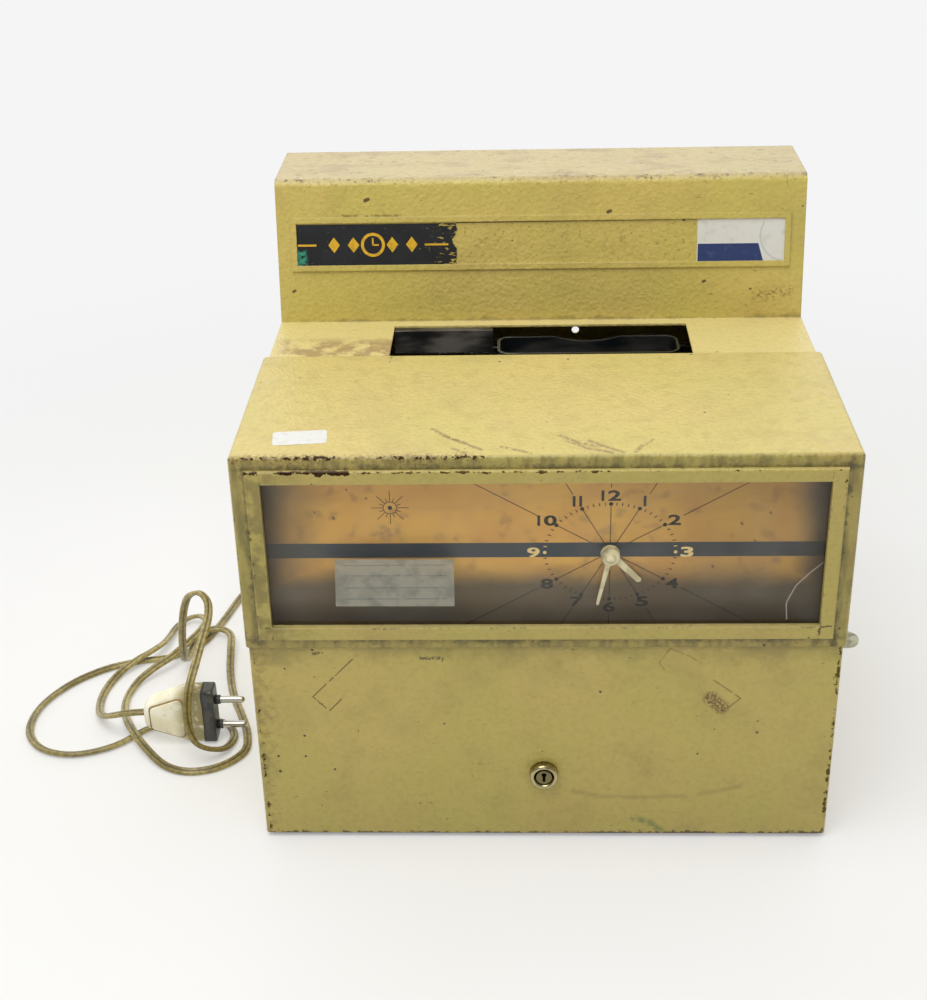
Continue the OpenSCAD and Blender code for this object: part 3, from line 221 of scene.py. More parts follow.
class Look(Tree):
    """A material as it is built up: its shader, the colour so far, and object coordinates in millimetres."""

    def __init__(self, name, colour):
        self.made = bpy.data.materials.new(name)
        self.made.use_nodes = True
        super().__init__(self.made.node_tree)
        self.shader = self.tree.nodes["Principled BSDF"]
        self.skin = Value(self, self.shader.outputs[0])
        self.where = self.scaled(self.add("TexCoord", out="Object"), 1 / MM)
        self.colour = colour

    def lay(self, mask, shade):
        """Lays a shade over the colour so far where the mask is 1."""
        self.colour = self.add("Mix", {0: mask, 6: self.colour, 7: shade}, out=2, data_type="RGBA")

    def done(self, rough, metal=0.0):
        """Puts the colour, roughness and metal on the shader, and returns the material."""
        self.fill(self.shader, {"Base Color": self.colour, "Roughness": rough, "Metallic": metal})
        return self.made

    def show(self, shader):
        """Shows another shader in place of the principled one."""
        self.fill(self.tree.nodes["Material Output"], {"Surface": shader})

    def noise(self, size, detail, squeeze=None, rough=0.5):
        """Noise about size mm across, drawn out or squeezed along each axis."""
        where = self.vector("MULTIPLY", self.where, squeeze) if squeeze else self.where
        inputs = {"Vector": where, "Scale": 1 / size, "Detail": detail, "Roughness": rough}
        return self.add("TexNoise", inputs)

    def clouds(self, size, low, high, detail=4.0, squeeze=None):
        """Patches about size mm across: noise, cut softly between low and high."""
        return self.noise(size, detail, squeeze).ramp(low, high, smooth=True)

    def stroke(self, points, width, soft=0.3):
        """1 along a chain of straight stretches, width mm wide: the distance to the nearest, cut softly."""
        gaps = []
        for a, b in zip(points, points[1:]):
            run = np.subtract(b, a)
            length = float(np.linalg.norm(run))
            heading = tuple(run / length)
            offset = self.vector("SUBTRACT", self.where, a)
            along = self.vector("DOT_PRODUCT", offset, heading, out=1)
            held = self.add("Clamp", {"Value": along, "Min": 0.0, "Max": length})
            gaps.append(self.vector("DISTANCE", offset, self.scaled(heading, held), out=1))
        nearest = reduce(lambda one, two: one & two, gaps)
        return nearest.ramp(width / 2 + soft, width / 2)

    def patch(self, middle, half, soft):
        """1 inside a box with soft edges: the largest overshoot past its half sizes."""
        away = self.vector("ABSOLUTE", self.vector("SUBTRACT", self.where, middle))
        past = self.vector("SUBTRACT", away, half)
        return any_of(past.part(axis) for axis in "XYZ").ramp(soft, 0.0, smooth=True)

    def along_edge(self, point, heading, reach, size, level, soft, gate=None):
        """Chips, grime and painted shade along an edge, in groups: noise of that size, lowered with the
        distance from it.
        """
        offset = self.vector("SUBTRACT", self.where, point)
        away = self.vector("LENGTH", self.vector("CROSS_PRODUCT", offset, heading), out=1)
        groups = self.noise(size * 9, 1.0).ramp(0.35, 0.65, -0.08, 0.06)
        value = self.noise(size, 4.0, rough=0.6) + groups - away * (0.3 / reach)
        if gate is not None:
            value = value - gate
        return value.ramp(level, level + soft)

    def only_left_of(self, x, fade):
        """0 to the left of x, and rising to 0.2 to its right, to hold chips back."""
        return self.where.part("X").ramp(x, x + fade, 0.0, 0.2)

    def specks(self, spacing, radius, seed=0.0):
        """Round specks up to radius mm, about one in each spacing mm: cell distance under a random size."""
        shifted = self.vector("ADD", self.where, (seed, seed, seed))
        cells = self.add("TexVoronoi", {"Vector": shifted, "Scale": 1 / spacing})
        size = cells.other("Color").part("X") ** 4.0 * (radius / spacing)
        return (size - cells.other("Distance")).ramp(0.0, 0.15 / spacing)

    def worn_edges(self, reach, amount):
        """1 on outer edges, for wear and for painted highlights: how far a rounded normal turns from the true
        one, within reach mm.
        """
        rounded = self.add("Bevel", {"Radius": reach * MM}, samples=4)
        same = self.vector("DOT_PRODUCT", rounded, self.add("NewGeometry", out="Normal"), out=1)
        return same.ramp(1 - amount, 1 - amount * 1.6)

    def bump(self, height, depth, strength=1.0, radius=0.0):
        """Raises the surface by height times depth mm, over edges rounded by radius mm."""
        inputs = {"Height": height, "Distance": depth * MM, "Strength": strength}
        if radius:
            inputs["Normal"] = self.add("Bevel", {"Radius": radius * MM}, samples=4)
        self.fill(self.shader, {"Normal": self.add("Bump", inputs)})


# Finishes

OLIVE = "C6B55B"
OLIVE_WARM = "CBB560"
OLIVE_DULL = "B09C48"
# Dark brown of chips, also laid as painted shade in the gap round the window and along the panel's bottom edge
CHIP_AND_SHADE = "2A120A"
# Grime, also laid as painted shade round the window frame and as painted shadow and shade on the panel
GRIME_AND_SHADE = "4A421A"
RUST = "604210"
GREEN = "4F7038"
# Pale dust for what faces up, which also paints in the light on tops
DUST_AND_TOP_LIGHT = "F0E2C2"


def enamel(name, marks, film=0.0):
    """Stove enamel on sheet steel: a half-gloss olive-mustard skin with orange peel, soiled and chipped.
    Each mark is a mask, a shade and how far it covers, with True after them where the paint is gone."""
    look = Look(name, OLIVE)
    look.lay(look.clouds(70, 0.38, 0.62), OLIVE_WARM)
    look.lay(look.clouds(3.2, 0.42, 0.70, 5.0) * 0.30, OLIVE_DULL)
    # A thin film of dirt lies in drifts, and short scratches and flecks all over
    look.lay(look.clouds(34, 0.46, 0.74, 8.0).ramp(0, 1, film, film + 0.13), GRIME_AND_SHADE)
    look.lay(look.clouds(2.6, 0.70, 0.74, 6.0, (0.5, 0.5, 1.3)) * 0.5, RUST)
    look.lay(look.specks(8, 1.1) * look.clouds(30, 0.40, 0.55) * 0.9, CHIP_AND_SHADE)
    gone = []
    for mask, shade, amount, *chipped in marks(look):
        look.lay(mask * amount, shade)
        if chipped:
            gone.append(mask)
    # Dust settles on what faces up; the same pale layer is also painted light, making tops look lit from above
    look.lay(look.add("TexCoord", out="Normal").part("Z").ramp(0.75, 1, 0, 0.12), DUST_AND_TOP_LIGHT)
    rough = look.clouds(5, 0.30, 0.70, 5.0).ramp(0, 1, 0.36, 0.5)
    # Orange peel: soft pimples of 2.4 mm cells, their places shaken by noise, over broader waves
    shaken = look.vector("ADD", look.where, look.scaled(look.noise(3, 1.0).other("Color"), 2.5))
    inputs = {"Vector": shaken, "Scale": 1 / 2.4, "Smoothness": 0.6}
    cells = look.add("TexVoronoi", inputs, feature="SMOOTH_F1")
    height = look.noise(9, 1.0) * 0.5 - cells * 0.9
    if gone:
        bare = any_of(gone)
        rough = rough | bare * 0.85
        height = height - bare * 0.35
        look.fill(look.shader, {"Specular IOR Level": bare.ramp(0, 1, 0.5, 0.08)})
    look.fill(look.shader, {"IOR": 1.55})
    look.bump(height, 0.45, radius=0.8)
    return look.done(rough)


# Scratches on the hood's top, by X and the depth behind its face
TOP_SCRATCHES = [
    [(-59.3, 33.2), (-50.2, 22.9), (-41.3, 16.3)], [(-54.6, 26.5), (-45.7, 18.8), (-32.6, 7.8)],
    [(9.1, 23.8), (18.5, 15.2), (28.9, 10.1)], [(12.2, 17.8), (22.5, 8.8), (34.9, 3.5)],
    [(23.9, 17.6), (32.1, 10.1), (41.1, 3.5)], [(47.5, 4.0), (51.2, 11.2), (57.4, 18.0)],
    [(-47.5, 9.0), (-40.9, 4.1)], [(-22.0, 11.0), (-7.2, 3.5)],
]


def hood_marks(look):
    """Chips along the hood's upper edge, scratches behind it, a face round the window frame darker all over
    and streaked, and painted shade in the groove round the frame.
    """
    # The whole front face darker, and streaked
    face = look.where.part("Y").ramp(FRONT + 2.4, FRONT + 0.4)
    yield face, GRIME_AND_SHADE, 0.38
    yield face * look.clouds(7, 0.38, 0.70, 7.0, (1.6, 1.0, 0.35)), GRIME_AND_SHADE, 0.5
    yield look.clouds(9, 0.50, 0.66, 8.0) * (1.0 - face), OLIVE_DULL, 0.4
    broken = look.clouds(2.2, 0.36, 0.50, 6.0)
    for line in TOP_SCRATCHES:
        yield look.stroke([on_top(*p) for p in line], 0.8, 1.5) * broken, "75551C", 0.75
    # Painted shade in the groove round the raised window frame: above, below and at both sides
    for z in (243.2, 138.2):
        yield look.along_edge(at_front(0, z), ALONG, 4, 4, 0.34, 0.25), GRIME_AND_SHADE, 0.7
    for x in (-157.3, 157.3):
        yield look.along_edge(at_front(x, 190), UPRIGHT, 3, 5, 0.36, 0.22), GRIME_AND_SHADE, 0.7
    for x in (1.0 - HALF_W, HALF_W - 1.0):
        yield look.along_edge((x, FRONT + 1, 190), UPRIGHT, 2.5, 2.2, 0.50, 0.08), GRIME_AND_SHADE, 0.6
    edge = (0, FRONT + 1.2, HOOD_TOP - 1.2)
    gate = look.only_left_of(-40, 40)
    yield look.along_edge(edge, ALONG, 9, 2.0, 0.47, 0.10, gate), RUST, 0.6
    yield look.along_edge(edge, ALONG, 2.6, 2.6, 0.47, 0.03, gate), CHIP_AND_SHADE, 0.9, True


def bezel_marks(look):
    """Chips round the raised frame and along its top, painted shade in the gap round the window, dirt at its
    left, and a painted highlight along its rim.
    """
    for x in (-155.6, 155.6):
        yield look.along_edge(at_front(x, 190, BEZEL_Y + 0.5), UPRIGHT, 2.0, 3.0, 0.52, 0.05), CHIP_AND_SHADE, 0.8, True
    # Painted shade in the gap between the pane and the frame, along the window's foot and sides
    yield look.along_edge(at_front(0, 147.4, BEZEL_Y), ALONG, 1.5, 2.5, 0.46, 0.06), CHIP_AND_SHADE, 0.8
    for x in (-148.6, 148.6):
        yield look.along_edge(at_front(x, 190, BEZEL_Y), UPRIGHT, 1.5, 2.5, 0.44, 0.06), CHIP_AND_SHADE, 0.8
    yield look.where.part("X").ramp(-120.0, -150.0) * look.clouds(6, 0.30, 0.62, 6.0), GRIME_AND_SHADE, 0.5
    # Painted highlight: the frame's edges lighter, as if they catch the light
    yield look.worn_edges(0.9, 0.06), "E4D588", 0.55
    edge = at_front(0, 241.8, BEZEL_Y + 0.3)
    yield look.along_edge(edge, ALONG, 4.0, 5.0, 0.44, 0.02, look.only_left_of(-100, 40)), CHIP_AND_SHADE, 0.95, True
    yield look.along_edge(edge, ALONG, 1.6, 4.0, 0.42, 0.03, look.only_left_of(-60, 120)), CHIP_AND_SHADE, 0.85, True


# On the panel, by X and height: edges of old tape and how dark each is, a long faint curve, two dark blots
TAPE_LINES = [
    (0.85, [(-104.1, 126.6), (-129.8, 99.4), (-121.0, 89.7), (-113.7, 97.9)]),
    (0.7, [(93.8, 110.3), (109.4, 98.0), (100.2, 89.2), (90.8, 97.3), (92.4, 102.1)]),
    (0.4, [(66.6, 116.8), (63.5, 121.8), (69.1, 131.0), (80.0, 126.1), (86.1, 121.8)]),
]
FAINT_CURVE = [(13.3, 34.6), (32.4, 29.6), (55.5, 28.9), (84.2, 30.3), (112.5, 36.8)]
BLOTS = [[(-127.4, 128.4), (-123.4, 128.4)], [(-68.0, 125.0), (-56.0, 125.0)]]


def panel_marks(look):
    """Tape lines, a brown smear, a painted shadow under the hood, painted shade towards the bottom and along
    the bottom edge, and scuffs down the left edge.
    """
    ragged = look.clouds(3.0, 0.36, 0.48, 6.0)
    for amount, line in TAPE_LINES:
        yield look.stroke(on_panel(line), 0.35, 0.45) * ragged, RUST, amount
    smear = look.stroke(on_panel([(93, 98), (99, 92)]), 6.0, 2.5)
    yield smear * look.clouds(1.5, 0.40, 0.55, 6.0), RUST, 0.8
    yield look.stroke(on_panel(FAINT_CURVE), 0.4, 2.2) * look.clouds(9, 0.3, 0.5), GRIME_AND_SHADE, 0.22
    green = look.stroke(on_panel([(52, 14), (61, 11), (68, 5)]), 1.5, 2.5)
    yield green * look.clouds(4, 0.36, 0.55), GREEN, 0.6
    # Painted shadow of the hood's lip across the panel's top
    yield look.along_edge(at_front(0, 133, PANEL_Y), ALONG, 12, 20, 0.18, 0.40), GRIME_AND_SHADE, 0.35
    for line in BLOTS:
        yield look.stroke(on_panel(line), 1.4, 0.8) * look.clouds(1.6, 0.42, 0.55), CHIP_AND_SHADE, 0.7
    left = at_front(-161, 60, PANEL_Y)
    yield look.along_edge(left, UPRIGHT, 14, 4.0, 0.34, 0.30), RUST, 0.45
    yield look.along_edge(left, UPRIGHT, 3.5, 3.2, 0.50, 0.05), CHIP_AND_SHADE, 0.75, True
    yield look.along_edge(at_front(162, 60, PANEL_Y), UPRIGHT, 4, 3.0, 0.48, 0.04), CHIP_AND_SHADE, 0.8, True
    # Painted shade: darker towards the bottom
    yield look.where.part("Z").ramp(70.0, 0.0), GRIME_AND_SHADE, 0.14
    # Painted shade of the gap along the panel's bottom edge
    yield look.along_edge(at_front(0, 3.0, PANEL_Y), ALONG, 2.5, 3.0, 0.36, 0.10), CHIP_AND_SHADE, 0.8


# Spots on the tower's face, by X, distance up the slope and size
TOWER_SPOTS = [
    (-153.2, 19.3, 1.0), (100.6, 22.8, 1.0), (129.5, 17.9, 0.5), (41.7, 66.2, 1.4), (-106.5, 75.0, 1.6),
]


def housing_marks(look):
    """Brown stains left of the slot and along the tower's head, spots and thin lines on its face, and painted
    light on the shelf at its foot.
    """
    high = look.where.part("Z").ramp(TOWER_HEAD[1] - 2.5, TOWER_HEAD[1] - 0.3)
    yield high, "B7A67E", 0.62
    yield high * look.clouds(3, 0.60, 0.68, 7.0, (0.6, 1.0, 1.0)), "7A5F38", 0.6
    yield high * look.clouds(14, 0.48, 0.70, 6.0, (0.5, 1.0, 1.0)), "94794C", 0.5
    # Painted light: the shelf at the tower's foot lightened, so it does not look shaded by the tower
    yield look.patch((0, FRONT + 166, TOWER_FOOT[1]), (170.0, 30.0, 0.8), 0.4), "F2DF9A", 0.35
    stain = look.patch((-120, FRONT + 147, 248), (28.0, 12.0, 6.0), 14.0)
    yield stain * look.clouds(9, 0.38, 0.58, 8.0), "8A6432", 0.75
    head = (0, FRONT + TOWER_HEAD[0] + 3, TOWER_HEAD[1] - 1.5)
    yield look.along_edge(head, ALONG, 12, 4, 0.50, 0.14), "7A5C2C", 0.6
    yield look.along_edge(head, ALONG, 8, 2.4, 0.53, 0.04), CHIP_AND_SHADE, 0.7
    for x, up, radius in TOWER_SPOTS:
        spot = on_slope(x, up)
        nudge = tuple(np.add(spot, (radius * 1.2, 0, radius * 0.5)))
        yield look.stroke([spot, nudge], radius, 0.6), CHIP_AND_SHADE, 0.85
    smudge = look.stroke([on_slope(134, 14), on_slope(152, 16)], 2.0, 4.5)
    yield smudge * look.clouds(1.8, 0.46, 0.60, 6.0), RUST, 0.55
    streak = look.stroke([on_slope(-120.7, 65.8), on_slope(-85.5, 65.6)], 0.6, 1.0)
    yield streak * look.clouds(3, 0.40, 0.55), RUST, 0.6
    for up in (60.9, 34.4):
        yield look.stroke([on_slope(-51, up), on_slope(96, up + 0.6)], 0.3, 0.35), "3B3118", 0.85
    dirt = look.patch(on_slope(30, 48), (85.0, 6.0, 11.0), 3.0)
    yield dirt * look.clouds(2.6, 0.58, 0.68, 7.0), RUST, 0.4
    yield look.along_edge((0, FRONT + TOWER_FOOT[0], TOWER_FOOT[1]), ALONG, 3, 8, 0.34, 0.2), GRIME_AND_SHADE, 0.35


def plain_marks(look):
    """A few larger flakes where nothing special shows."""
    yield look.specks(34, 2.6, 7.0), CHIP_AND_SHADE, 0.7


def plate_steel(name, tint, dull):
    """Zinc-plated sheet steel: grey metal with soft crystal patches and a dull bloom."""
    look = Look(name, tint)
    bloom = look.clouds(14, 0.40, 0.65, 6.0)
    look.lay(bloom * 0.5, dull)
    look.bump(look.noise(0.8, 3.0), 0.05, 0.4, radius=0.3)
    return look.done(bloom.ramp(0, 1, 0.38, 0.62), 0.85)


def turned_metal(name, tint, stain, low, high):
    """Turned or ground metal: fine tool lines round the piece, a few tarnished patches."""
    look = Look(name, tint)
    tarnish = look.clouds(6, 0.48, 0.66, 7.0)
    look.lay(tarnish * 0.6, stain)
    look.bump(look.noise(1.0, 2.0, (0.4, 6.0, 0.4)), 0.03, 0.4, radius=0.25)
    return look.done(tarnish.ramp(0, 1, low, high), 1.0)


def black_metal(name, tint, worn, sheen, wear_to):
    """Blackened steel, rubbed bright along its edges by cards as far as that X, with pale patches of dust and
    painted sheen.
    """
    look = Look(name, tint)
    near = look.where.part("X").ramp(wear_to + 12.0, wear_to, 0.12)
    # Pale patches, as strong as the sheen says: dust, and a painted sheen
    dust_and_sheen = look.clouds(12, 0.42, 0.70, 6.0, (0.35, 1.0, 1.0))
    look.lay(dust_and_sheen * sheen, worn)
    look.lay(look.worn_edges(0.7, 0.05) * look.clouds(3, 0.30, 0.50, 5.0) * near, worn)
    look.bump(look.noise(1.0, 3.0), 0.05, 0.4, radius=0.4)
    return look.done(dust_and_sheen.ramp(0, 1, 0.3, 0.5), 0.2)


def moulded(name, tint, stain, amount, low, high):
    """Moulded plastic, rubber or thick lacquer: an even skin, fine grain, and stains from handling."""
    look = Look(name, tint)
    dirt = look.clouds(7, 0.46, 0.70, 7.0)
    look.lay(dirt * amount, stain)
    look.bump(look.noise(0.6, 3.0), 0.04, 0.4, radius=0.4)
    return look.done(dirt.ramp(0, 1, low, high))


def wound(name, tint, gap, pitch):
    """Varnished winding: turns side by side, dark between them."""
    look = Look(name, gap)
    inputs = {"Vector": look.where, "Scale": 0.31 / pitch, "Distortion": 0.6, "Detail": 1.0}
    turns = look.add("TexWave", inputs, out="Fac", bands_direction="Y")
    look.lay(turns, tint)
    look.bump(turns, 0.25, 0.7)
    return look.done(0.4)


# On the dial, by X and height: dark spots and their size, hazy patches and half their width and height
DIAL_SPOTS = [
    (-113.1, 208.2, 0.9), (-105.0, 225.1, 0.6), (-94.7, 219.8, 0.5), (-122.9, 211.6, 0.5),
    (105.2, 203.6, 0.9), (120.1, 209.8, 0.7), (91.0, 177.3, 0.8), (112.8, 193.0, 0.7),
]
DIAL_HAZE = [(-82.1, 198.6, 7, 3), (-20.3, 222.8, 2.5, 2.5), (125.0, 182.2, 3, 5), (41.2, 209.9, 3, 3)]


def dial_face():
    """Lacquered bronze plate: warm orange metal behind dust, with painted shade of the recess at its foot and
    ends, darker towards the right, spotted.
    """
    look = Look("lacquered bronze dial", "E3B45A")
    across, height = look.where.part("X"), look.where.part("Z")
    look.lay(look.clouds(30, 0.35, 0.65), "D9A657")
    streaks = look.clouds(6, 0.45, 0.75, 6.0, (0.12, 1.0, 1.0))
    look.lay(streaks * 0.22, "C09050")
    # Painted shade of the window's recess: darker towards the dial's foot and both ends, along wobbling edges
    wobble = look.noise(26, 3.0)
    foot = (height + wobble * 10.0).ramp(187.0, 168.0, smooth=True)
    left = (across + wobble * 24.0).ramp(-98.0, -142.0, smooth=True)
    right = (across + wobble * 10.0).ramp(134.0, 154.0, smooth=True)
    dark = foot | left | right
    band = look.patch((0, DIAL_Y, BAND_Z), (400.0, 10.0, BAND_HALF), 0.15)
    look.lay(look.clouds(10, 0.56, 0.70, 6.0) * 0.35, "8A6A48")
    look.lay(band, "2E3945")
    # The painted shade, on the plate and deeper on its band
    look.lay(dark * 0.93, "514A3C")
    look.lay(band * dark * 0.45, "2A3038")
    spots = any_of(look.stroke([(x, DIAL_Y, z), (x + radius * 0.5, DIAL_Y, z - radius)], radius, 0.4)
                   for x, z, radius in DIAL_SPOTS)
    look.lay(spots * 0.7, "4A3422")
    look.lay(look.specks(11, 0.9, 3.0) * look.clouds(40, 0.45, 0.55) * 0.6, "5C4028")
    for x, z, half_x, half_z in DIAL_HAZE:
        haze = look.patch((x, DIAL_Y, z), (half_x * 0.4, 10.0, half_z * 0.4), half_x)
        look.lay(haze * look.clouds(4, 0.35, 0.6) * 0.4, "7A6B5C")
    # Darker towards the right
    look.lay(across.ramp(20.0, 100.0, smooth=True) * 0.30, "2A2018")
    look.bump(streaks, 0.02, 0.3)
    # Less metal where the painted shade or the band lies
    return look.done(0.42, (1.0 - (dark | band)) * 0.15)


# A long pale scratch on the pane, by X and height
PANE_SCRATCH = [(131.2, 149.7), (130.3, 160.0), (134.7, 170.8), (141.1, 178.2), (148.0, 184.8)]


def window_glass():
    """Flat window pane: clear and shiny, with a film of dust and long scratches that catch light."""
    look = Look("dusty window glass", "B9B4A6")
    pale = look.stroke([at_front(x, z, GLASS_Y) for x, z in PANE_SCRATCH], 0.35, 0.3) * 0.6
    dust = look.clouds(24, 0.35, 0.75, 8.0) * 0.035
    grit = look.specks(15, 0.8, 5.0) * 0.5
    hairs = look.clouds(1.6, 0.66, 0.72, 3.0, (0.08, 1.0, 1.6)) * 0.05
    clear = look.add("BsdfTransparent", {"Color": "FDFCF9"})
    shine = look.add("BsdfGlossy", {"Color": "FFFFFF", "Roughness": 0.06})
    # Rays that leave through the back of a face aren't mirrored again
    mirror = look.add("Fresnel", {"IOR": 1.35}) * (1.0 - look.add("NewGeometry", out="Backfacing"))
    pane = look.blend(mirror, clear, shine)
    look.show(look.blend((pale | dust | grit) + hairs, pane, look.skin))
    return look.done(0.55)


def printed_ink(name, tint, worn):
    """Screen-printed ink, thin and a little patchy."""
    look = Look(name, tint)
    look.lay(look.clouds(3, 0.48, 0.62, 5.0) * 0.4, worn)
    return look.done(0.55)


def label_paint():
    """Old enamelled strip: blue-black gloss, scratched through to ochre, with a green stain at its left."""
    look = Look("worn label enamel", "0D0F14")
    look.lay(look.clouds(12, 0.4, 0.65, 6.0), "15181F")
    look.lay(look.clouds(1.8, 0.68, 0.73, 6.0, (0.5, 1.0, 2.2)) * 0.6, "8C8160")
    ragged = look.noise(2.4, 6.0, (0.5, 1, 1.6))
    right = look.where.part("X").ramp(-78.0, -52.0, 0, 0.16)
    look.lay((ragged + right).ramp(0.71, 0.74), OLIVE_DULL)
    corner = look.patch(on_slope(-147, 38), (1.5, 3.0, 5.0), 3.0)
    look.lay(corner * look.clouds(3, 0.4, 0.55), "2F8F74")
    look.bump(ragged, 0.05, 0.4)
    return look.done(0.38)


def sticker_paper(name, tint, stain):
    """Coated paper sticker, printed or bare: flat colour, soiled a little."""
    look = Look(name, tint)
    look.lay(look.clouds(5, 0.50, 0.72, 7.0) * 0.35, stain)
    return look.done(0.5)


def film_label():
    """Matt plastic film stuck to the window: grey-blue, half clear, with four faint ruled rows."""
    look = Look("faded film label", "B3B09E")
    rows = any_of(look.stroke([at_front(-107, z, GLASS_Y), at_front(-53, z, GLASS_Y)], 0.5, 0.3)
                  for z in (184.5, 178.0, 170.5, 163.5))
    look.lay(look.clouds(9, 0.4, 0.65, 6.0), "9A998B")
    look.lay(rows * look.clouds(3, 0.35, 0.5) * 0.55, "6E7C7A")
    look.show(look.blend(0.55, look.add("BsdfTransparent", {"Color": "FFFFFF"}), look.skin))
    return look.done(0.5)


def cord_skin():
    """Old soft PVC: khaki gone olive-brown with grime, and darker along the groove between its cores."""
    look = Look("grimy khaki pvc", "B5A668")
    look.lay(look.clouds(50, 0.38, 0.62), "8B7D48")
    look.lay(look.clouds(2.5, 0.40, 0.66, 6.0) * 0.5, "5A4E28")
    # Darker along the groove between the cores
    look.lay(look.add("Attribute", out="Fac", attribute_name="groove") * 0.8, "2E2614")
    look.bump(look.noise(1.5, 3.0), 0.08, 0.4)
    return look.done(0.24)


def plug_skin():
    """Aged cream moulding: ivory, with an olive stain towards the base and brown dirt here and there."""
    look = Look("aged ivory moulding", "FBF6DE")
    look.lay(look.clouds(12, 0.40, 0.65), "F3EAC6")
    near = look.where.part("X").ramp(-236.0, -224.0, smooth=True)
    look.lay(near * look.clouds(6, 0.30, 0.50, 6.0) * 0.85, "8C8042")
    look.lay(look.clouds(4, 0.58, 0.74, 8.0) * 0.3, "9A8450")
    look.bump(look.noise(1.2, 3.0), 0.05, 0.4)
    return look.done(0.35)


def cloth_ribbon():
    """Inked woven ribbon: crossing threads a third of a millimetre apart, black-violet."""
    look = Look("inked ribbon cloth", "08070B")
    warp, weft = (look.add("TexWave", {"Vector": look.where, "Scale": 0.9}, out="Fac", bands_direction=way)
                  for way in "XZ")
    weave = warp * weft
    look.lay(weave, "2A2434")
    look.bump(weave, 0.1, 0.5)
    return look.done(0.8)


nickel = turned_metal("worn nickel plate", "B5AA80", "5A4E28", 0.2, 0.45)
cap_lacquer = moulded("worn cap lacquer", "EEE6BE", "6E6440", 0.75, 0.2, 0.4)
crease_dirt = moulded("brown dirt in a crease", "A08650", "7A6436", 0.5, 0.5, 0.7)
base_grey = moulded("dark grey plug base", "3A3C3C", "6A6656", 0.5, 0.35, 0.55)
dark_ink = printed_ink("dark dial ink", "1C1814", "3A2C1E")
cream_ink = printed_ink("cream dial ink", "F0D89A", "C4A86A")
label_blue = label_paint()
label_yellow = printed_ink("yellow label paint", "DDAE22", "A07C1C")
white_paper = sticker_paper("white coated sticker", "DAD9D3", "B5AC8E")
navy_print = sticker_paper("navy print", "22356A", "55648C")
pale_print = sticker_paper("pale grey print", "C4C8C6", "B0AE9E")
film = film_label()
cord_pvc = cord_skin()
ivory = plug_skin()

# Each finish with the nodes that have it
FINISHES = [
    (enamel("stove enamel hood", hood_marks), "hood"),
    (enamel("stove enamel window frame", bezel_marks, 0.24), "bezel_frame"),
    (enamel("stove enamel panel", panel_marks, 0.16), "front_panel"),
    (enamel("stove enamel housing", housing_marks), "rear_housing"),
    (enamel("stove enamel back", plain_marks), "rear_panel"),
    (moulded("dark brown primer", "3B2A1C", "6B5636", 0.5, 0.5, 0.7), "base_tray"),
    (plate_steel("zinc plate", "C9C9C2", "96968C"),
     "frame_left frame_right chassis_plate print_beam print_bracket solenoid_frame hinge_ears hinge_arms"
     " selector_bracket pane_clips housing_screws"),
    (turned_metal("ground steel", "C8C9CC", "7E776B", 0.22, 0.45),
     "frame_screws tie_rods type_shaft pocket_rods hammer_shaft hammer_spring hinge_pins lock_nut lock_cam"
     " minute_type_wheel hour_type_wheel hammer solenoid_plunger"),
    (turned_metal("dull nickel lever", "A8A58C", "77725A", 0.25, 0.45), "selector_lever"),
    (turned_metal("tarnished brass", "D9B26A", "8A6A38", 0.25, 0.5),
     "back_plate plate_pillars dial_posts minute_arbor hour_wheel minute_wheel motor_pinion carry_wheel"),
    (nickel, "lock_body"),
    (turned_metal("dull brass", "7C7250", "39331E", 0.3, 0.5), "lock_plug"),
    (black_metal("blackened steel", "14181A", "A9A192", 0.10, -22.0), "card_pocket transformer_core"),
    (black_metal("dark guide steel", "242424", "A79E92", 0.45, -90.0), "slot_guide"),
    (moulded("greyish cream lacquer", "F0E8C2", "9A8E62", 0.5, 0.3, 0.5), "minute_hand hour_hand"),
    (window_glass(), "window_pane"),
    (dial_face(), "dial_plate"),
    (moulded("black crackle enamel", "1B1B1D", "34343A", 0.4, 0.4, 0.6), "drive_motor"),
    (wound("varnished copper winding", "8A4526", "3A1C10", 1.0), "solenoid_coil"),
    (wound("paper over a winding", "B59A62", "8A7040", 3.0), "transformer_coil"),
    (moulded("cream plastic", "DCD2B0", "A89A72", 0.4, 0.35, 0.5), "terminal_block"),
    (moulded("black rubber", "1A1917", "3A362E", 0.4, 0.6, 0.8), "cord_grommet"),
    (moulded("black spool plastic", "141416", "2C2A30", 0.4, 0.3, 0.5), "supply_spool takeup_spool"),
    (cloth_ribbon(), "ribbon"),
    (moulded("khaki pvc", "857A50", "574E30", 0.5, 0.35, 0.5), "inner_lead"),
    (turned_metal("dull nickel pins", "C2BDB0", "6E6658", 0.2, 0.42), "plug_pins"),
    (cord_pvc, "cord"),
    (ivory, "plug_body"),
]
for finish, names in FINISHES:
    for name in names.split():
        nodes[name].data.materials.clear()
        nodes[name].data.materials.append(finish)


# Shapes: each function gives points in millimetres and faces

def piece(name, shape, finish, body, slot, smooth=True):
    """A shape as an object, its faces turned outwards, finished, and riding on a body."""
    points, faces = shape
    mesh = bpy.data.meshes.new(name)
    mesh.from_pydata((np.asarray(points, float) * MM).tolist(), [], [list(map(int, f)) for f in faces])
    held = bmesh.new()
    held.from_mesh(mesh)
    bmesh.ops.recalc_face_normals(held, faces=held.faces)
    held.to_mesh(mesh)
    held.free()
    mesh.materials.append(finish)
    mesh.polygons.foreach_set("use_smooth", [smooth] * len(mesh.polygons))
    mesh.update()
    made = bpy.data.objects.new(name, mesh)
    bpy.context.scene.collection.objects.link(made)
    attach(made, body)
    return made


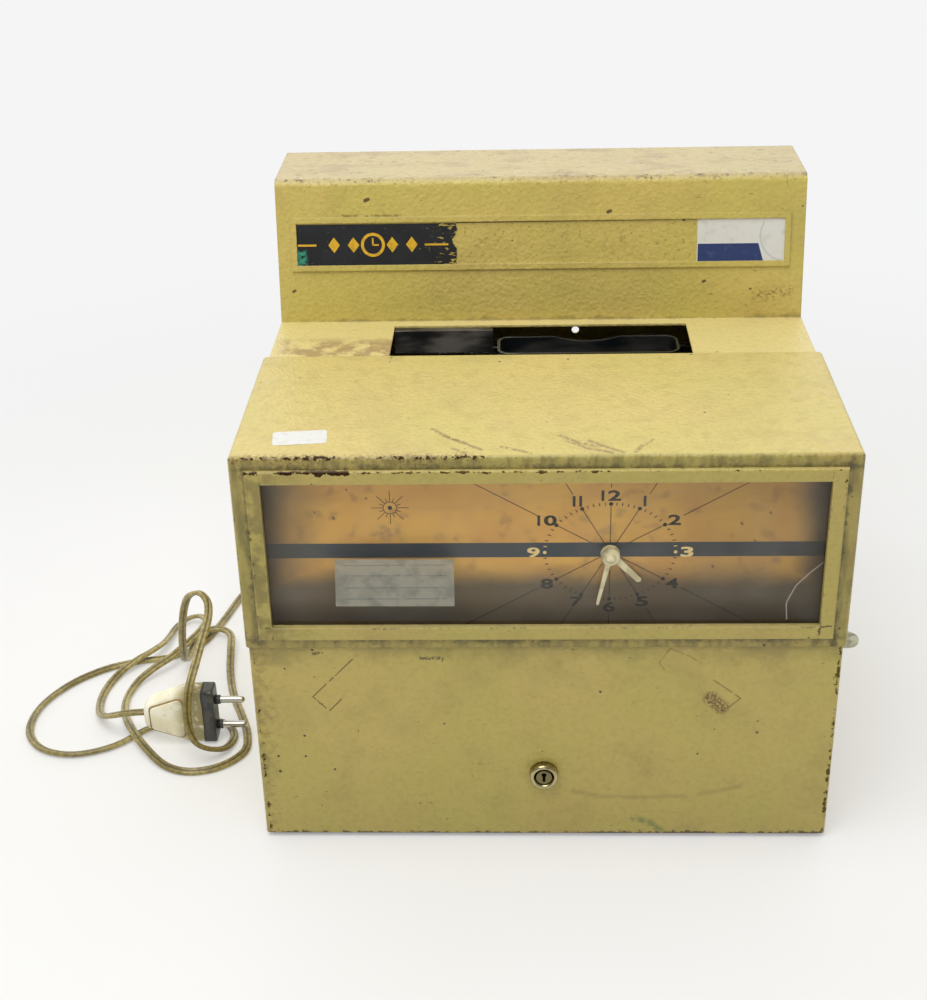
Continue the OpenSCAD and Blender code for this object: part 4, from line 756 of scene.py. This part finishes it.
def joined(shapes):
    """Several shapes as one: their points in a row, and their faces counted on."""
    points, faces, count = [], [], 0
    for own_points, own_faces in shapes:
        points.append(own_points)
        faces += [[i + count for i in f] for f in own_faces]
        count += len(own_points)
    return np.concatenate(points), faces


def grid_faces(rows, columns, closed_rows=False):
    """Quads of a grid whose columns close, and whose last row joins the first where closed_rows says so."""
    r = np.arange(rows if closed_rows else rows - 1)[:, None]
    c = np.arange(columns)[None, :]
    r_next, c_next = (r + 1) % rows, (c + 1) % columns
    row, row_next = r * columns, r_next * columns
    return np.stack([row + c, row + c_next, row_next + c_next, row_next + c], -1).reshape(-1, 4).tolist()


def capped(points, rows, columns):
    """A grid of points whose first and last rows are closed by flat caps."""
    caps = [list(range(columns))[::-1], list(range((rows - 1) * columns, rows * columns))]
    return points, grid_faces(rows, columns) + caps


def turned(profile, x, z, steps=72):
    """A ring turned about a depth-wise axis at x, z: each point of its closed profile is a radius and a Y."""
    profile = np.asarray(profile, float)
    angle = np.linspace(0, 2 * np.pi, steps, endpoint=False)
    radius, y = profile[:, 0][:, None], profile[:, 1][:, None]
    points = np.stack([x + radius * np.cos(angle), y + 0 * angle, z + radius * np.sin(angle)], -1)
    return points.reshape(-1, 3), grid_faces(len(profile), steps, closed_rows=True)


def arc_points(middle, radius, angle):
    """Points in a plane round a middle at these angles."""
    return np.asarray(middle, float) + radius * np.stack([np.cos(angle), np.sin(angle)], -1)


def rounded_outline(corners, radius, steps=5):
    """A convex outline whose corners are arcs: each turns about a centre radius in from both sides."""
    corners = np.asarray(corners, float)
    made = []
    for i, corner in enumerate(corners):
        back, on = corners[i - 1] - corner, corners[(i + 1) % len(corners)] - corner
        back, on = back / np.linalg.norm(back), on / np.linalg.norm(on)
        half = math.acos(float(np.clip(back @ on, -1, 1))) / 2
        middle = corner + (back + on) / np.linalg.norm(back + on) * radius / math.sin(half)
        first = corner + back * radius / math.tan(half) - middle
        last = corner + on * radius / math.tan(half) - middle
        start = math.atan2(first[1], first[0])
        sweep = (math.atan2(last[1], last[0]) - start + math.pi) % (2 * math.pi) - math.pi
        made.append(arc_points(middle, radius, start + sweep * np.linspace(0, 1, steps)))
    return np.concatenate(made)


def slab(outline, axes, low, high, bevel=0.0):
    """A flat plate: its outline lies across and up the given axes, between two heights out of the face.
    A bevel narrows the last stretch of its height by that much, in steps that follow a quarter circle."""
    origin, across, up, out = (np.asarray(a, float) for a in axes)
    outline = np.asarray(outline, float)
    middle = outline.mean(0)
    span = np.abs(outline - middle).max()
    heights, insets = [low, high], [0, 0]
    if bevel:
        turn = np.radians([0, 30, 60, 90])
        heights = [low] + list(high - bevel + bevel * np.sin(turn))
        insets = [0] + list(bevel * (1 - np.cos(turn)))
    rings = []
    for height, inset in zip(heights, insets):
        ring = middle + (outline - middle) * (1 - inset / span)
        rings.append(origin + ring[:, :1] * across + ring[:, 1:] * up + height * out)
    return capped(np.concatenate(rings), len(rings), len(outline))


# Dial print: how far it stands out of the dial and starts inside it
PRINT_RISE = 0.06
PRINT_ROOT = 0.02


def ink(outline, rise=PRINT_RISE):
    """A flat printed shape on the dial, by its outline in X and height."""
    outline = np.asarray(outline, float)
    rings = [np.insert(outline, 1, y, axis=1) for y in (DIAL_Y + PRINT_ROOT, DIAL_Y - rise)]
    return capped(np.concatenate(rings), 2, len(outline))


def bars(starts, ends, width, rise=PRINT_RISE):
    """Printed bars: each a box from its start to its end."""
    starts, ends = np.asarray(starts, float), np.asarray(ends, float)
    run = ends - starts
    side = np.stack([-run[:, 1], run[:, 0]], -1) / np.linalg.norm(run, axis=1)[:, None] * (width / 2)
    rings = np.stack([starts - side, ends - side, ends + side, starts + side], 1)
    return joined(ink(ring, rise) for ring in rings)


def dots(centres, radius, steps=20):
    """Printed dots."""
    angle = np.linspace(0, 2 * np.pi, steps, endpoint=False)
    return joined(ink(arc_points(centre, radius, angle)) for centre in centres)


def smooth_path(points, steps):
    """A smooth path through hand-set points: Catmull-Rom, each stretch a cubic of its four nearest points."""
    points = np.asarray(points, float)
    padded = np.concatenate([[2 * points[0] - points[1]], points, [2 * points[-1] - points[-2]]])
    t = np.linspace(0, 1, steps, endpoint=False)[None, :, None]
    p0, p1, p2, p3 = (padded[i:len(padded) - 3 + i][:, None, :] for i in range(4))
    curve = 0.5 * (2 * p1 + (p2 - p0) * t + (2 * p0 - 5 * p1 + 4 * p2 - p3) * t ** 2
                   + (3 * p1 - p0 - 3 * p2 + p3) * t ** 3)
    return np.concatenate([curve.reshape(-1, 3), points[-1:]])


# Cord: flat, of two cores side by side, from the grommet round to the plug, by X, depth and height
CORD_WIDE = 5.4
CORE_R = 1.5
CORD_ROUTE = [
    (-115, 285, 38), (-115, 298, 38), (-118, 315, 25), (-126, 328, 8), (-143, 334, 2), (-168, 332, 2),
    (-194, 320, 2), (-212, 296, 2), (-221, 268, 2), (-228, 238, 2), (-238, 208, 2), (-256, 192, 2),
    (-278, 186, 2), (-300, 176, 2), (-320, 157, 2), (-333, 131, 2), (-333, 104, 2), (-320, 85, 2),
    (-298, 79, 2), (-274, 88, 2), (-254, 108, 2), (-233, 117, 2), (-217, 117, 2), (-204, 111, 2),
    (-198, 98, 2), (-201, 84, 3.5), (-209, 75, 9), (-217, 72, 16), (-221, 75, 26), (-222, 81, 37),
    (-221, 88, 47), (-218, 99, 57), (-215, 111, 67), (-212, 122, 77), (-213, 130, 84), (-219, 136, 87),
    (-227, 141, 82), (-232, 146, 71), (-236, 151, 55), (-239, 157, 37), (-241, 164, 21),
    (-242, 176, 10), (-242, 191, 7.5), (-241, 206, 7), (-236, 217, 7), (-227, 220, 7), (-218, 212, 7),
    (-215, 194, 6.5), (-212, 171, 3), (-206, 146, 2), (-197, 122, 2), (-190, 101, 2), (-189, 82, 2),
    (-201, 67, 2), (-219, 61, 2), (-236, 66, 2.5), (-251, 80, 5.5), (-264, 99, 6.5), (-274, 122, 3.5),
    (-277, 142, 2), (-273, 159, 3.5), (-264, 170, 7), (-254, 180, 9.5), (-246, 191, 12),
    (-240, 204, 12.5), (-237, 216, 12), (-238, 228, 9.5), (-245, 238, 6.5), (-254, 238, 4),
    (-260, 229, 3), (-262, 216, 4), (-264, 202, 6.5), (-270, 190, 7.5), (-279, 181, 6), (-288, 170, 3),
    (-293, 155, 2), (-294, 139, 2), (-291, 123, 4), (-285, 111, 9), (-277, 103, 15), (-266, 100, 19),
    (-254, 100, 20),
]
# How far it rolls in degrees, over what lengths and from how far off its ends, and half its groove's width
CORD_ROLL = 20
ROLL_WAVES = (47, 31)
ROLL_FADE = 60
GROOVE_HALF = 0.55


def make_cord():
    """Two touching cores swept along the route, the line between them level across it and rolling a little.
    The path is lifted where a core would sink into the floor."""
    path = smooth_path(np.array(CORD_ROUTE) + [0, FRONT, 0], 5)
    heading = np.gradient(path, axis=0)
    heading /= np.linalg.norm(heading, axis=1)[:, None]
    side = np.cross(UPRIGHT, heading)
    side /= np.linalg.norm(side, axis=1)[:, None]
    lift = np.cross(heading, side)
    run = np.concatenate([[0], np.cumsum(np.linalg.norm(np.diff(path, axis=0), axis=1))])
    fade = np.clip(np.minimum(run, run[-1] - run) / ROLL_FADE, 0, 1)
    roll = np.radians(CORD_ROLL) * np.sin(run / ROLL_WAVES[0] + 1.3 * np.sin(run / ROLL_WAVES[1])) * fade
    side, lift = (side * np.cos(roll)[:, None] + lift * np.sin(roll)[:, None],
                  lift * np.cos(roll)[:, None] - side * np.sin(roll)[:, None])
    offset = CORD_WIDE / 2 - CORE_R
    path[:, 2] = np.maximum(path[:, 2], CORE_R + offset * np.abs(np.sin(roll)))
    reach = math.acos(-offset / CORE_R)
    right = arc_points((offset, 0), CORE_R, np.linspace(-reach, reach, 13)[:-1])
    section = np.concatenate([right, -right])
    out, up = section[:, 0], section[:, 1]
    points = path[:, None] + out[None, :, None] * side[:, None] + up[None, :, None] * lift[:, None]
    skin = capped(points.reshape(-1, 3), len(path), len(section))
    body = piece("flat_cord", skin, cord_pvc, "case", "cord_pvc")
    depth = np.exp(-(out / GROOVE_HALF) ** 2)
    groove = body.data.attributes.new("groove", "FLOAT", "POINT")
    groove.data.foreach_set("value", np.tile(depth, len(path)).astype(np.float32))
    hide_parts("cord")
    return body, path * MM, run[-1] * MM


cord_piece, cord_path, cord_length = make_cord()


# Plug: X of the cord's end, of where it is full size, of its base and of the base's far face, its middle,
# half its thickness, half its height at the neck and at the base, and a pin's radius
PLUG_TAIL, PLUG_WIDE, PLUG_BASE, PLUG_FACE = -254.0, -226.0, -216.0, -208.0
PLUG_Y = FRONT + 100
PLUG_Z = 20.0
PLUG_THICK, NECK_HALF, BASE_HALF = 7.5, 7.5, 20.0
PIN_R = 2.2


def make_plug():
    """A body lofted along X: each section is a superellipse whose height widens from the neck to the base."""
    x = PLUG_TAIL + (PLUG_BASE + 0.3 - PLUG_TAIL) * np.linspace(0, 1, 40)[:, None] ** 1.2
    part = np.clip((x - PLUG_TAIL) / (PLUG_WIDE - PLUG_TAIL), 0, 1)
    half_z = NECK_HALF + (BASE_HALF - NECK_HALF) * part ** 0.85
    blunt = np.sqrt(np.clip(1 - (1 - np.clip((x - PLUG_TAIL) / 4.0, 0, 1)) ** 2, 0.02, 1))
    angle = np.linspace(0, 2 * np.pi, 48, endpoint=False)[None, :]
    square, tall = (np.sign(wave) * np.abs(wave) ** (2 / 4.5) for wave in (np.cos(angle), np.sin(angle)))
    points = np.stack([x + 0 * angle, PLUG_Y + PLUG_THICK * (0.55 + 0.45 * blunt) * square,
                       PLUG_Z + (half_z - 3.0 * (1 - blunt)) * tall], -1)
    shell = piece("plug_shell", capped(points.reshape(-1, 3), 40, 48), ivory, "case", "plug_plastic")
    face = ((0, PLUG_Y - PLUG_THICK, PLUG_Z), ALONG, UPRIGHT, FORWARD)
    end = ((PLUG_BASE, PLUG_Y, PLUG_Z), REARWARD, UPRIGHT, ALONG)
    low, high = PLUG_TAIL + 5, PLUG_WIDE - 2
    panel = rounded_outline([(low, -7.6), (high, -15.0), (high, 15.0), (low, 7.6)], 3.0)
    rim = rounded_outline([(low - 1, -8.3), (high + 1, -16.2), (high + 1, 16.2), (low - 1, 8.3)], 3.6)
    foot = rounded_outline([(-7.4, -19.6), (7.4, -19.6), (7.4, 19.6), (-7.4, 19.6)], 3.2)
    made = [shell]
    for name, shape, finish in (("plug_panel", slab(panel, face, -0.6, 1.1, 0.6), ivory),
                                ("plug_crease", slab(rim, face, -0.6, 0.1), crease_dirt),
                                ("plug_base", slab(foot, end, 0.0, 7.8, 1.2), base_grey)):
        made.append(piece(name, shape, finish, "case", "plug_plastic"))
    # A sleeve round the root of each pin: radii, and X from the base's far face
    ring = [(2.25, -0.4), (3.0, -0.4), (3.0, 2.6), (2.7, 3.4), (2.25, 3.4)]
    below, above = (corner.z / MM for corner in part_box("plug_pins"))
    for name, z in (("pin_sleeve_low", below + PIN_R), ("pin_sleeve_high", above - PIN_R)):
        points, faces = turned([(radius, PLUG_FACE + along) for radius, along in ring], 0, 0, 32)
        points = np.stack([points[:, 1], PLUG_Y + points[:, 0], z + points[:, 2]], -1)
        made.append(piece(name, (points, faces), base_grey, "case", "plug_plastic"))
    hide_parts("plug_body")
    return made


plug_pieces = make_plug()
tuple(cord_path[0])


# Lock: height of its axis
LOCK_Z = 46.5


def make_lock():
    """The lock's body, turned about its axis: a proud head, a dished face and a sleeve through the panel."""
    turn = np.radians(np.linspace(0, 90, 6)[1:])
    profile = [(6.5, 13.5), (6.5, 0), (8.2, 0), (8.2, -3.4)]
    profile += [(6.9 + 1.3 * math.cos(t), -3.4 - 1.8 * math.sin(t)) for t in turn]
    profile += [(6.2, -5.2), (5.7, -4.6), (5.3, -3.2), (4.62, -2.7), (4.62, 13.5)]
    ring = turned([(radius, PANEL_Y + depth) for radius, depth in profile], 0, LOCK_Z, 96)
    body = piece("lock_ring", ring, nickel, "cover", "nickel_brass")
    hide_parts("lock_body")


make_lock()


# Dial print: the numerals' height, width and gap, widths of its lines and sizes of its dots
NUMERAL_H, NUMERAL_W, NUMERAL_GAP = 6.3, 6.9, 2.0
ONE_W = 1.5
TICK_HALF, TICK_WIDE = 0.9, 0.55
RAY_WIDE = 0.45
HOUR_DOT, SIDE_DOT = 1.15, 1.0


def oval(hour, half_w, half_h):
    """The point of an oval in the direction of an hour: its radius is that of the ellipse at that angle."""
    angle = math.radians(hour * 30)
    s, c = math.sin(angle), math.cos(angle)
    radius = half_w * half_h / math.hypot(half_h * s, half_w * c)
    return DIAL_X + radius * s, DIAL_Z + radius * c


def glyph(character):
    """The flat outline of one character as a closed mesh: its points, from the origin, and its faces."""
    text = bpy.data.curves.new("glyph", "FONT")
    text.body = character
    text.size = 1.0
    text.extrude = 0.03
    text.resolution_u = 6
    text.offset = 0.03
    holder = bpy.data.objects.new("glyph", text)
    bpy.context.scene.collection.objects.link(holder)
    bpy.context.view_layer.update()
    mesh = bpy.data.meshes.new_from_object(holder.evaluated_get(bpy.context.evaluated_depsgraph_get()))
    bpy.data.objects.remove(holder)
    flat = np.array([v.co for v in mesh.vertices], float)
    faces = [list(p.vertices) for p in mesh.polygons]
    bpy.data.meshes.remove(mesh)
    return flat - [flat[:, 0].min(), flat[:, 1].min(), 0], faces


def printed(name, shape, finish):
    """A printed shape on the dial."""
    piece(name, shape, finish, "case", "dial_print", smooth=False)


def numeral(hour, finish):
    """A numeral of flat ink, centred on the numerals' oval: round figures are wider than they are tall."""
    shapes, edge = [], 0.0
    for character in str(hour):
        flat, faces = glyph(character)
        width = ONE_W if character == "1" else NUMERAL_W
        flat[:, 0] *= width / flat[:, 0].max()
        flat[:, 1] *= NUMERAL_H / flat[:, 1].max()
        shapes.append((flat + [edge, 0, 0], faces))
        edge += width + NUMERAL_GAP
    flat, faces = joined(shapes)
    x, z = oval(hour, *NUMERALS_OVAL)
    placed = np.stack([x + flat[:, 0] - (edge - NUMERAL_GAP) / 2, DIAL_Y - PRINT_RISE * (flat[:, 2] > 0),
                       z + flat[:, 1] - NUMERAL_H / 2], -1)
    printed(f"numeral_{hour:02d}", (placed, faces), finish)


def make_dial_print():
    """Twelve numerals, a dot at each hour, a tick at each minute and fine rays out to the window."""
    for hour in range(1, 13):
        numeral(hour, cream_ink if hour in (3, 9) else dark_ink)
    hours = [h for h in range(1, 13) if h not in (3, 9)]
    printed("hour_dots", dots([oval(h, *HOURS_OVAL) for h in hours], HOUR_DOT), dark_ink)
    printed("side_dots", dots([oval(h, *HOURS_OVAL) for h in (3, 9)], SIDE_DOT), cream_ink)
    minutes = [m / 5 for m in range(60) if m % 5]
    outer, inner = (np.array([oval(m, HOURS_OVAL[0] + past, HOURS_OVAL[1] + past) for m in minutes])
                    for past in (TICK_HALF, -TICK_HALF))
    in_band = np.abs(outer[:, 1] - BAND_Z) < BAND_HALF
    for name, chosen, finish in (("minute_ticks", ~in_band, dark_ink), ("side_ticks", in_band, cream_ink)):
        printed(name, bars(inner[chosen], outer[chosen], TICK_WIDE), finish)
    # Rays from near the centre to each dot, and from past each numeral to 1 mm from the dial's edge
    centre = np.array([DIAL_X, DIAL_Z])
    low, high = (corner.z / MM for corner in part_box("dial_plate"))
    starts, ends = [], []
    for h in hours:
        dot = np.array(oval(h, *HOURS_OVAL))
        way = (dot - centre) / np.linalg.norm(dot - centre)
        first = np.array(oval(h, NUMERALS_OVAL[0] + 5.5, NUMERALS_OVAL[1] + 4.6))
        limit = high - 1 if way[1] > 0 else low + 1
        starts += [centre + (dot - centre) * 0.12, first]
        ends += [dot, first + way * (limit - first[1]) / way[1]]
    printed("hour_rays", bars(starts, ends, RAY_WIDE, PRINT_RISE * 0.8), dark_ink)


make_dial_print()

# Symbol on the dial: its place, the length of its strokes and the size of its ring, dot and lines
SYMBOL = (-82.1, 213.8)
SYMBOL_R, SYMBOL_RING, SYMBOL_DOT, SYMBOL_LINE = 10.0, 3.6, 1.2, 0.35


def make_symbol():
    """Sixteen fine strokes like a compass card, alternately long and short, round a dot and a thin ring."""
    angle = np.arange(16) * np.pi / 8
    way = np.stack([np.sin(angle), np.cos(angle)], -1)
    long = np.where(np.arange(16) % 2 == 0, SYMBOL_R, SYMBOL_R * 0.62)[:, None]
    turn = np.linspace(0, 2 * np.pi, 49)
    ring = np.array(SYMBOL) + SYMBOL_RING * np.stack([np.sin(turn), np.cos(turn)], -1)
    starts = np.concatenate([SYMBOL + way * SYMBOL_RING, ring[:-1]])
    ends = np.concatenate([SYMBOL + way * long, ring[1:]])
    printed("dial_symbol", joined([bars(starts, ends, SYMBOL_LINE), dots([SYMBOL], SYMBOL_DOT)]), dark_ink)


make_symbol()


def make_hub():
    """The cap over the hands: a turned dome with a small nub."""
    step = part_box("minute_hand")[0].y / MM
    turn = np.radians(np.linspace(0, 80, 6))
    dome = [(2.9 + 2.3 * math.cos(t), step - 0.3 - 1.1 * math.sin(t)) for t in turn]
    nub = [(0.2 + 2.2 * math.cos(t), step - 2.1 - 1.3 * math.sin(t)) for t in turn]
    profile = [(0.2, step + 0.3), (5.2, step + 0.3)] + dome + nub + [(0.2, step - 3.4)]
    piece("hand_cap", turned(profile, DIAL_X, DIAL_Z), cap_lacquer, "minute_train", "hand_paint")


make_hub()


# Labels: on the tower by X and distance up the slope. The strip's marks stand between two heights out of it
STRIP = (-149.4, -51.3, 35.4, 60.6)
STRIP_SEED = 11
STRIP_DASHES = [(-149.0, -137.5, 47.4, 48.6), (-70.5, -56.0, 47.2, 48.4)]
LOZENGES = (-126.5, -114.5, -90.5, -78.5)
CLOCK_RING = ((-102.5, 48), 5.6, 7.4)
CLOCK_HANDS = [(-103.0, -102.0, 47.6, 52.2), (-102.6, -98.9, 47.4, 48.4)]
MARK_LOW, MARK_HIGH = 0.3, 0.45
STICKER = (96.3, 151.2, 34.3, 62.4)
STICKER_BLOCK = [(96.8, 46.2), (96.8, 34.7), (137.0, 34.7), (133.6, 46.2)]
STICKER_ARC = ((150.6, 51.2), 15.4, 16.5)
HOOD_STICKER = [(-142.9, 14.3), (-114.4, 17.0), (-115.7, 33.2), (-144.6, 30.7)]
FILM = [(-113.2, 158.9), (-48.5, 158.7), (-48.3, 188.0), (-112.2, 188.3)]


def oblong(left, right, low, high):
    """The corners of an oblong."""
    return [(left, low), (right, low), (right, high), (left, high)]


def strip_outline(left, right, low, high, seed):
    """A strip whose right end is broken off: its edge wanders by a seeded random walk."""
    walk = np.random.default_rng(seed)
    ups = np.linspace(low, high, 40)
    jag = np.convolve(walk.normal(0, 1.0, 44), [0.3, 0.4, 0.5, 0.4, 0.3], "valid")
    end = right + jag[:40] * 1.2
    end[0] = end[-1] = right - 0.5
    return np.concatenate([[[left, low]], np.stack([end, ups], -1), [[left, high]]])


def make_labels():
    """The strip in the tower's frame, the stickers on the tower and the hood, and the film on the window."""
    slope = slope_axes()
    origin, across, up, out = slope
    # The strip's marks: dashes, plain lozenges, and a ring with two clock hands
    middle, inside, outside = CLOCK_RING
    turn = np.linspace(0, 2 * np.pi, 48, endpoint=False)
    band = []
    rims = ((inside, MARK_LOW), (outside, MARK_LOW), (outside, MARK_HIGH), (inside, MARK_HIGH))
    for radius, height in rims:
        ring = arc_points(middle, radius, turn)
        band.append(origin + ring[:, :1] * across + ring[:, 1:] * up + height * out)
    outlines = [oblong(*dash) for dash in STRIP_DASHES]
    outlines += [[(x - 3.6, 48.0), (x, 43.2), (x + 3.6, 48.0), (x, 52.8)] for x in LOZENGES]
    outlines += [oblong(*hand) for hand in CLOCK_HANDS]
    marks = [slab(outline, slope, MARK_LOW, MARK_HIGH) for outline in outlines]
    marks.insert(-len(CLOCK_HANDS), (np.concatenate(band), grid_faces(4, 48, closed_rows=True)))
    middle, inside, outside = STICKER_ARC
    turn = np.radians(np.linspace(150, 270, 24))
    crescent = np.concatenate([arc_points(middle, outside, turn), arc_points(middle, inside, turn[::-1])])
    top = ((0, FRONT, HOOD_TOP), ALONG, REARWARD, UPRIGHT)
    pane = ((0, GLASS_Y, 0), ALONG, UPRIGHT, FORWARD)
    strip = slab(strip_outline(*STRIP, STRIP_SEED), slope, 0.0, 0.35)
    sticker = slab(rounded_outline(oblong(*STICKER), 0.8, 3), slope, 0.0, 0.25)
    hood_sticker = slab(rounded_outline(HOOD_STICKER, 2.0), top, -0.01, 0.14)
    for name, shape, finish, body, slot in (
            ("label_strip", strip, label_blue, "case", "enamel"),
            ("strip_marks", joined(marks), label_yellow, "case", "enamel"),
            ("tower_sticker", sticker, white_paper, "case", "enamel"),
            ("sticker_block", slab(STICKER_BLOCK, slope, 0.2, 0.32), navy_print, "case", "enamel"),
            ("sticker_arc", slab(crescent, slope, 0.2, 0.31), pale_print, "case", "enamel"),
            ("hood_sticker", hood_sticker, white_paper, "cover", "enamel"),
            ("window_film", slab(FILM, pane, 0.01, 0.12), film, "cover", "pane")):
        piece(name, shape, finish, body, slot, smooth=False)


make_labels()


# Floor and light

BACKDROP = "F5F5F6"
FLOOR_HALF = 6.0


def make_stage():
    """A pale lit floor that runs out into an even backdrop: it turns into plain light 0.3 to 1 metre off."""
    look = Look("pale floor paper", "F0EFEA")
    look.lay(look.clouds(300, 0.4, 0.6), "F2F1EE")
    far = look.vector("LENGTH", look.where, out=1).ramp(300.0, 1000.0, 0.35, smooth=True)
    look.show(look.blend(far, look.skin, look.add("Emission", {"Color": BACKDROP, "Strength": 1.0})))
    mesh = bpy.data.meshes.new("floor")
    corners = oblong(-FLOOR_HALF, FLOOR_HALF, -FLOOR_HALF, FLOOR_HALF)
    mesh.from_pydata([(x, y, 0) for x, y in corners], [], [(0, 1, 2, 3)])
    mesh.materials.append(look.done(0.9))
    floor = bpy.data.objects.new("floor", mesh)
    bpy.context.scene.collection.objects.link(floor)


# The soft box over the case: its place, what it points at, its size in metres and its power in watts
LAMP_AT = (-0.25, -0.55, 1.55)
LAMP_AIM = (0, -0.05, 0.15)
LAMP_SIZE = 1.2
LAMP_POWER = 18.0


def make_lamp():
    """A square soft box overhead and a little in front."""
    lamp = bpy.data.lights.new("overhead", "AREA")
    lamp.shape = "SQUARE"
    lamp.size = LAMP_SIZE
    lamp.energy = LAMP_POWER
    back = np.subtract(LAMP_AT, LAMP_AIM) / np.linalg.norm(np.subtract(LAMP_AT, LAMP_AIM))
    right = np.cross(REARWARD, back)
    right /= np.linalg.norm(right)
    stand(bpy.data.objects.new("overhead", lamp), right, np.cross(back, right), back, LAMP_AT)


def make_room():
    """A pale room, bright behind the case and dim in front of it, and even where the camera sees it."""
    world = bpy.data.worlds.new("room")
    world.use_nodes = True
    room = Tree(world.node_tree)
    back = room.tree.nodes["Background"]
    behind = room.add("TexCoord").part("Y").ramp(-0.3, 0.9, 0.36, 1.35)
    room.fill(back, {"Color": "F4F5F7", "Strength": behind})
    seen = room.add("Background", {"Color": BACKDROP, "Strength": 1.0})
    mixed = room.blend(room.add("LightPath", out="Is Camera Ray"), Value(room, back.outputs[0]), seen)
    room.fill(room.tree.nodes["World Output"], {"Surface": mixed})
    bpy.context.scene.world = world
    bpy.context.scene.view_settings.view_transform = "Standard"


make_stage()
make_lamp()
make_room()
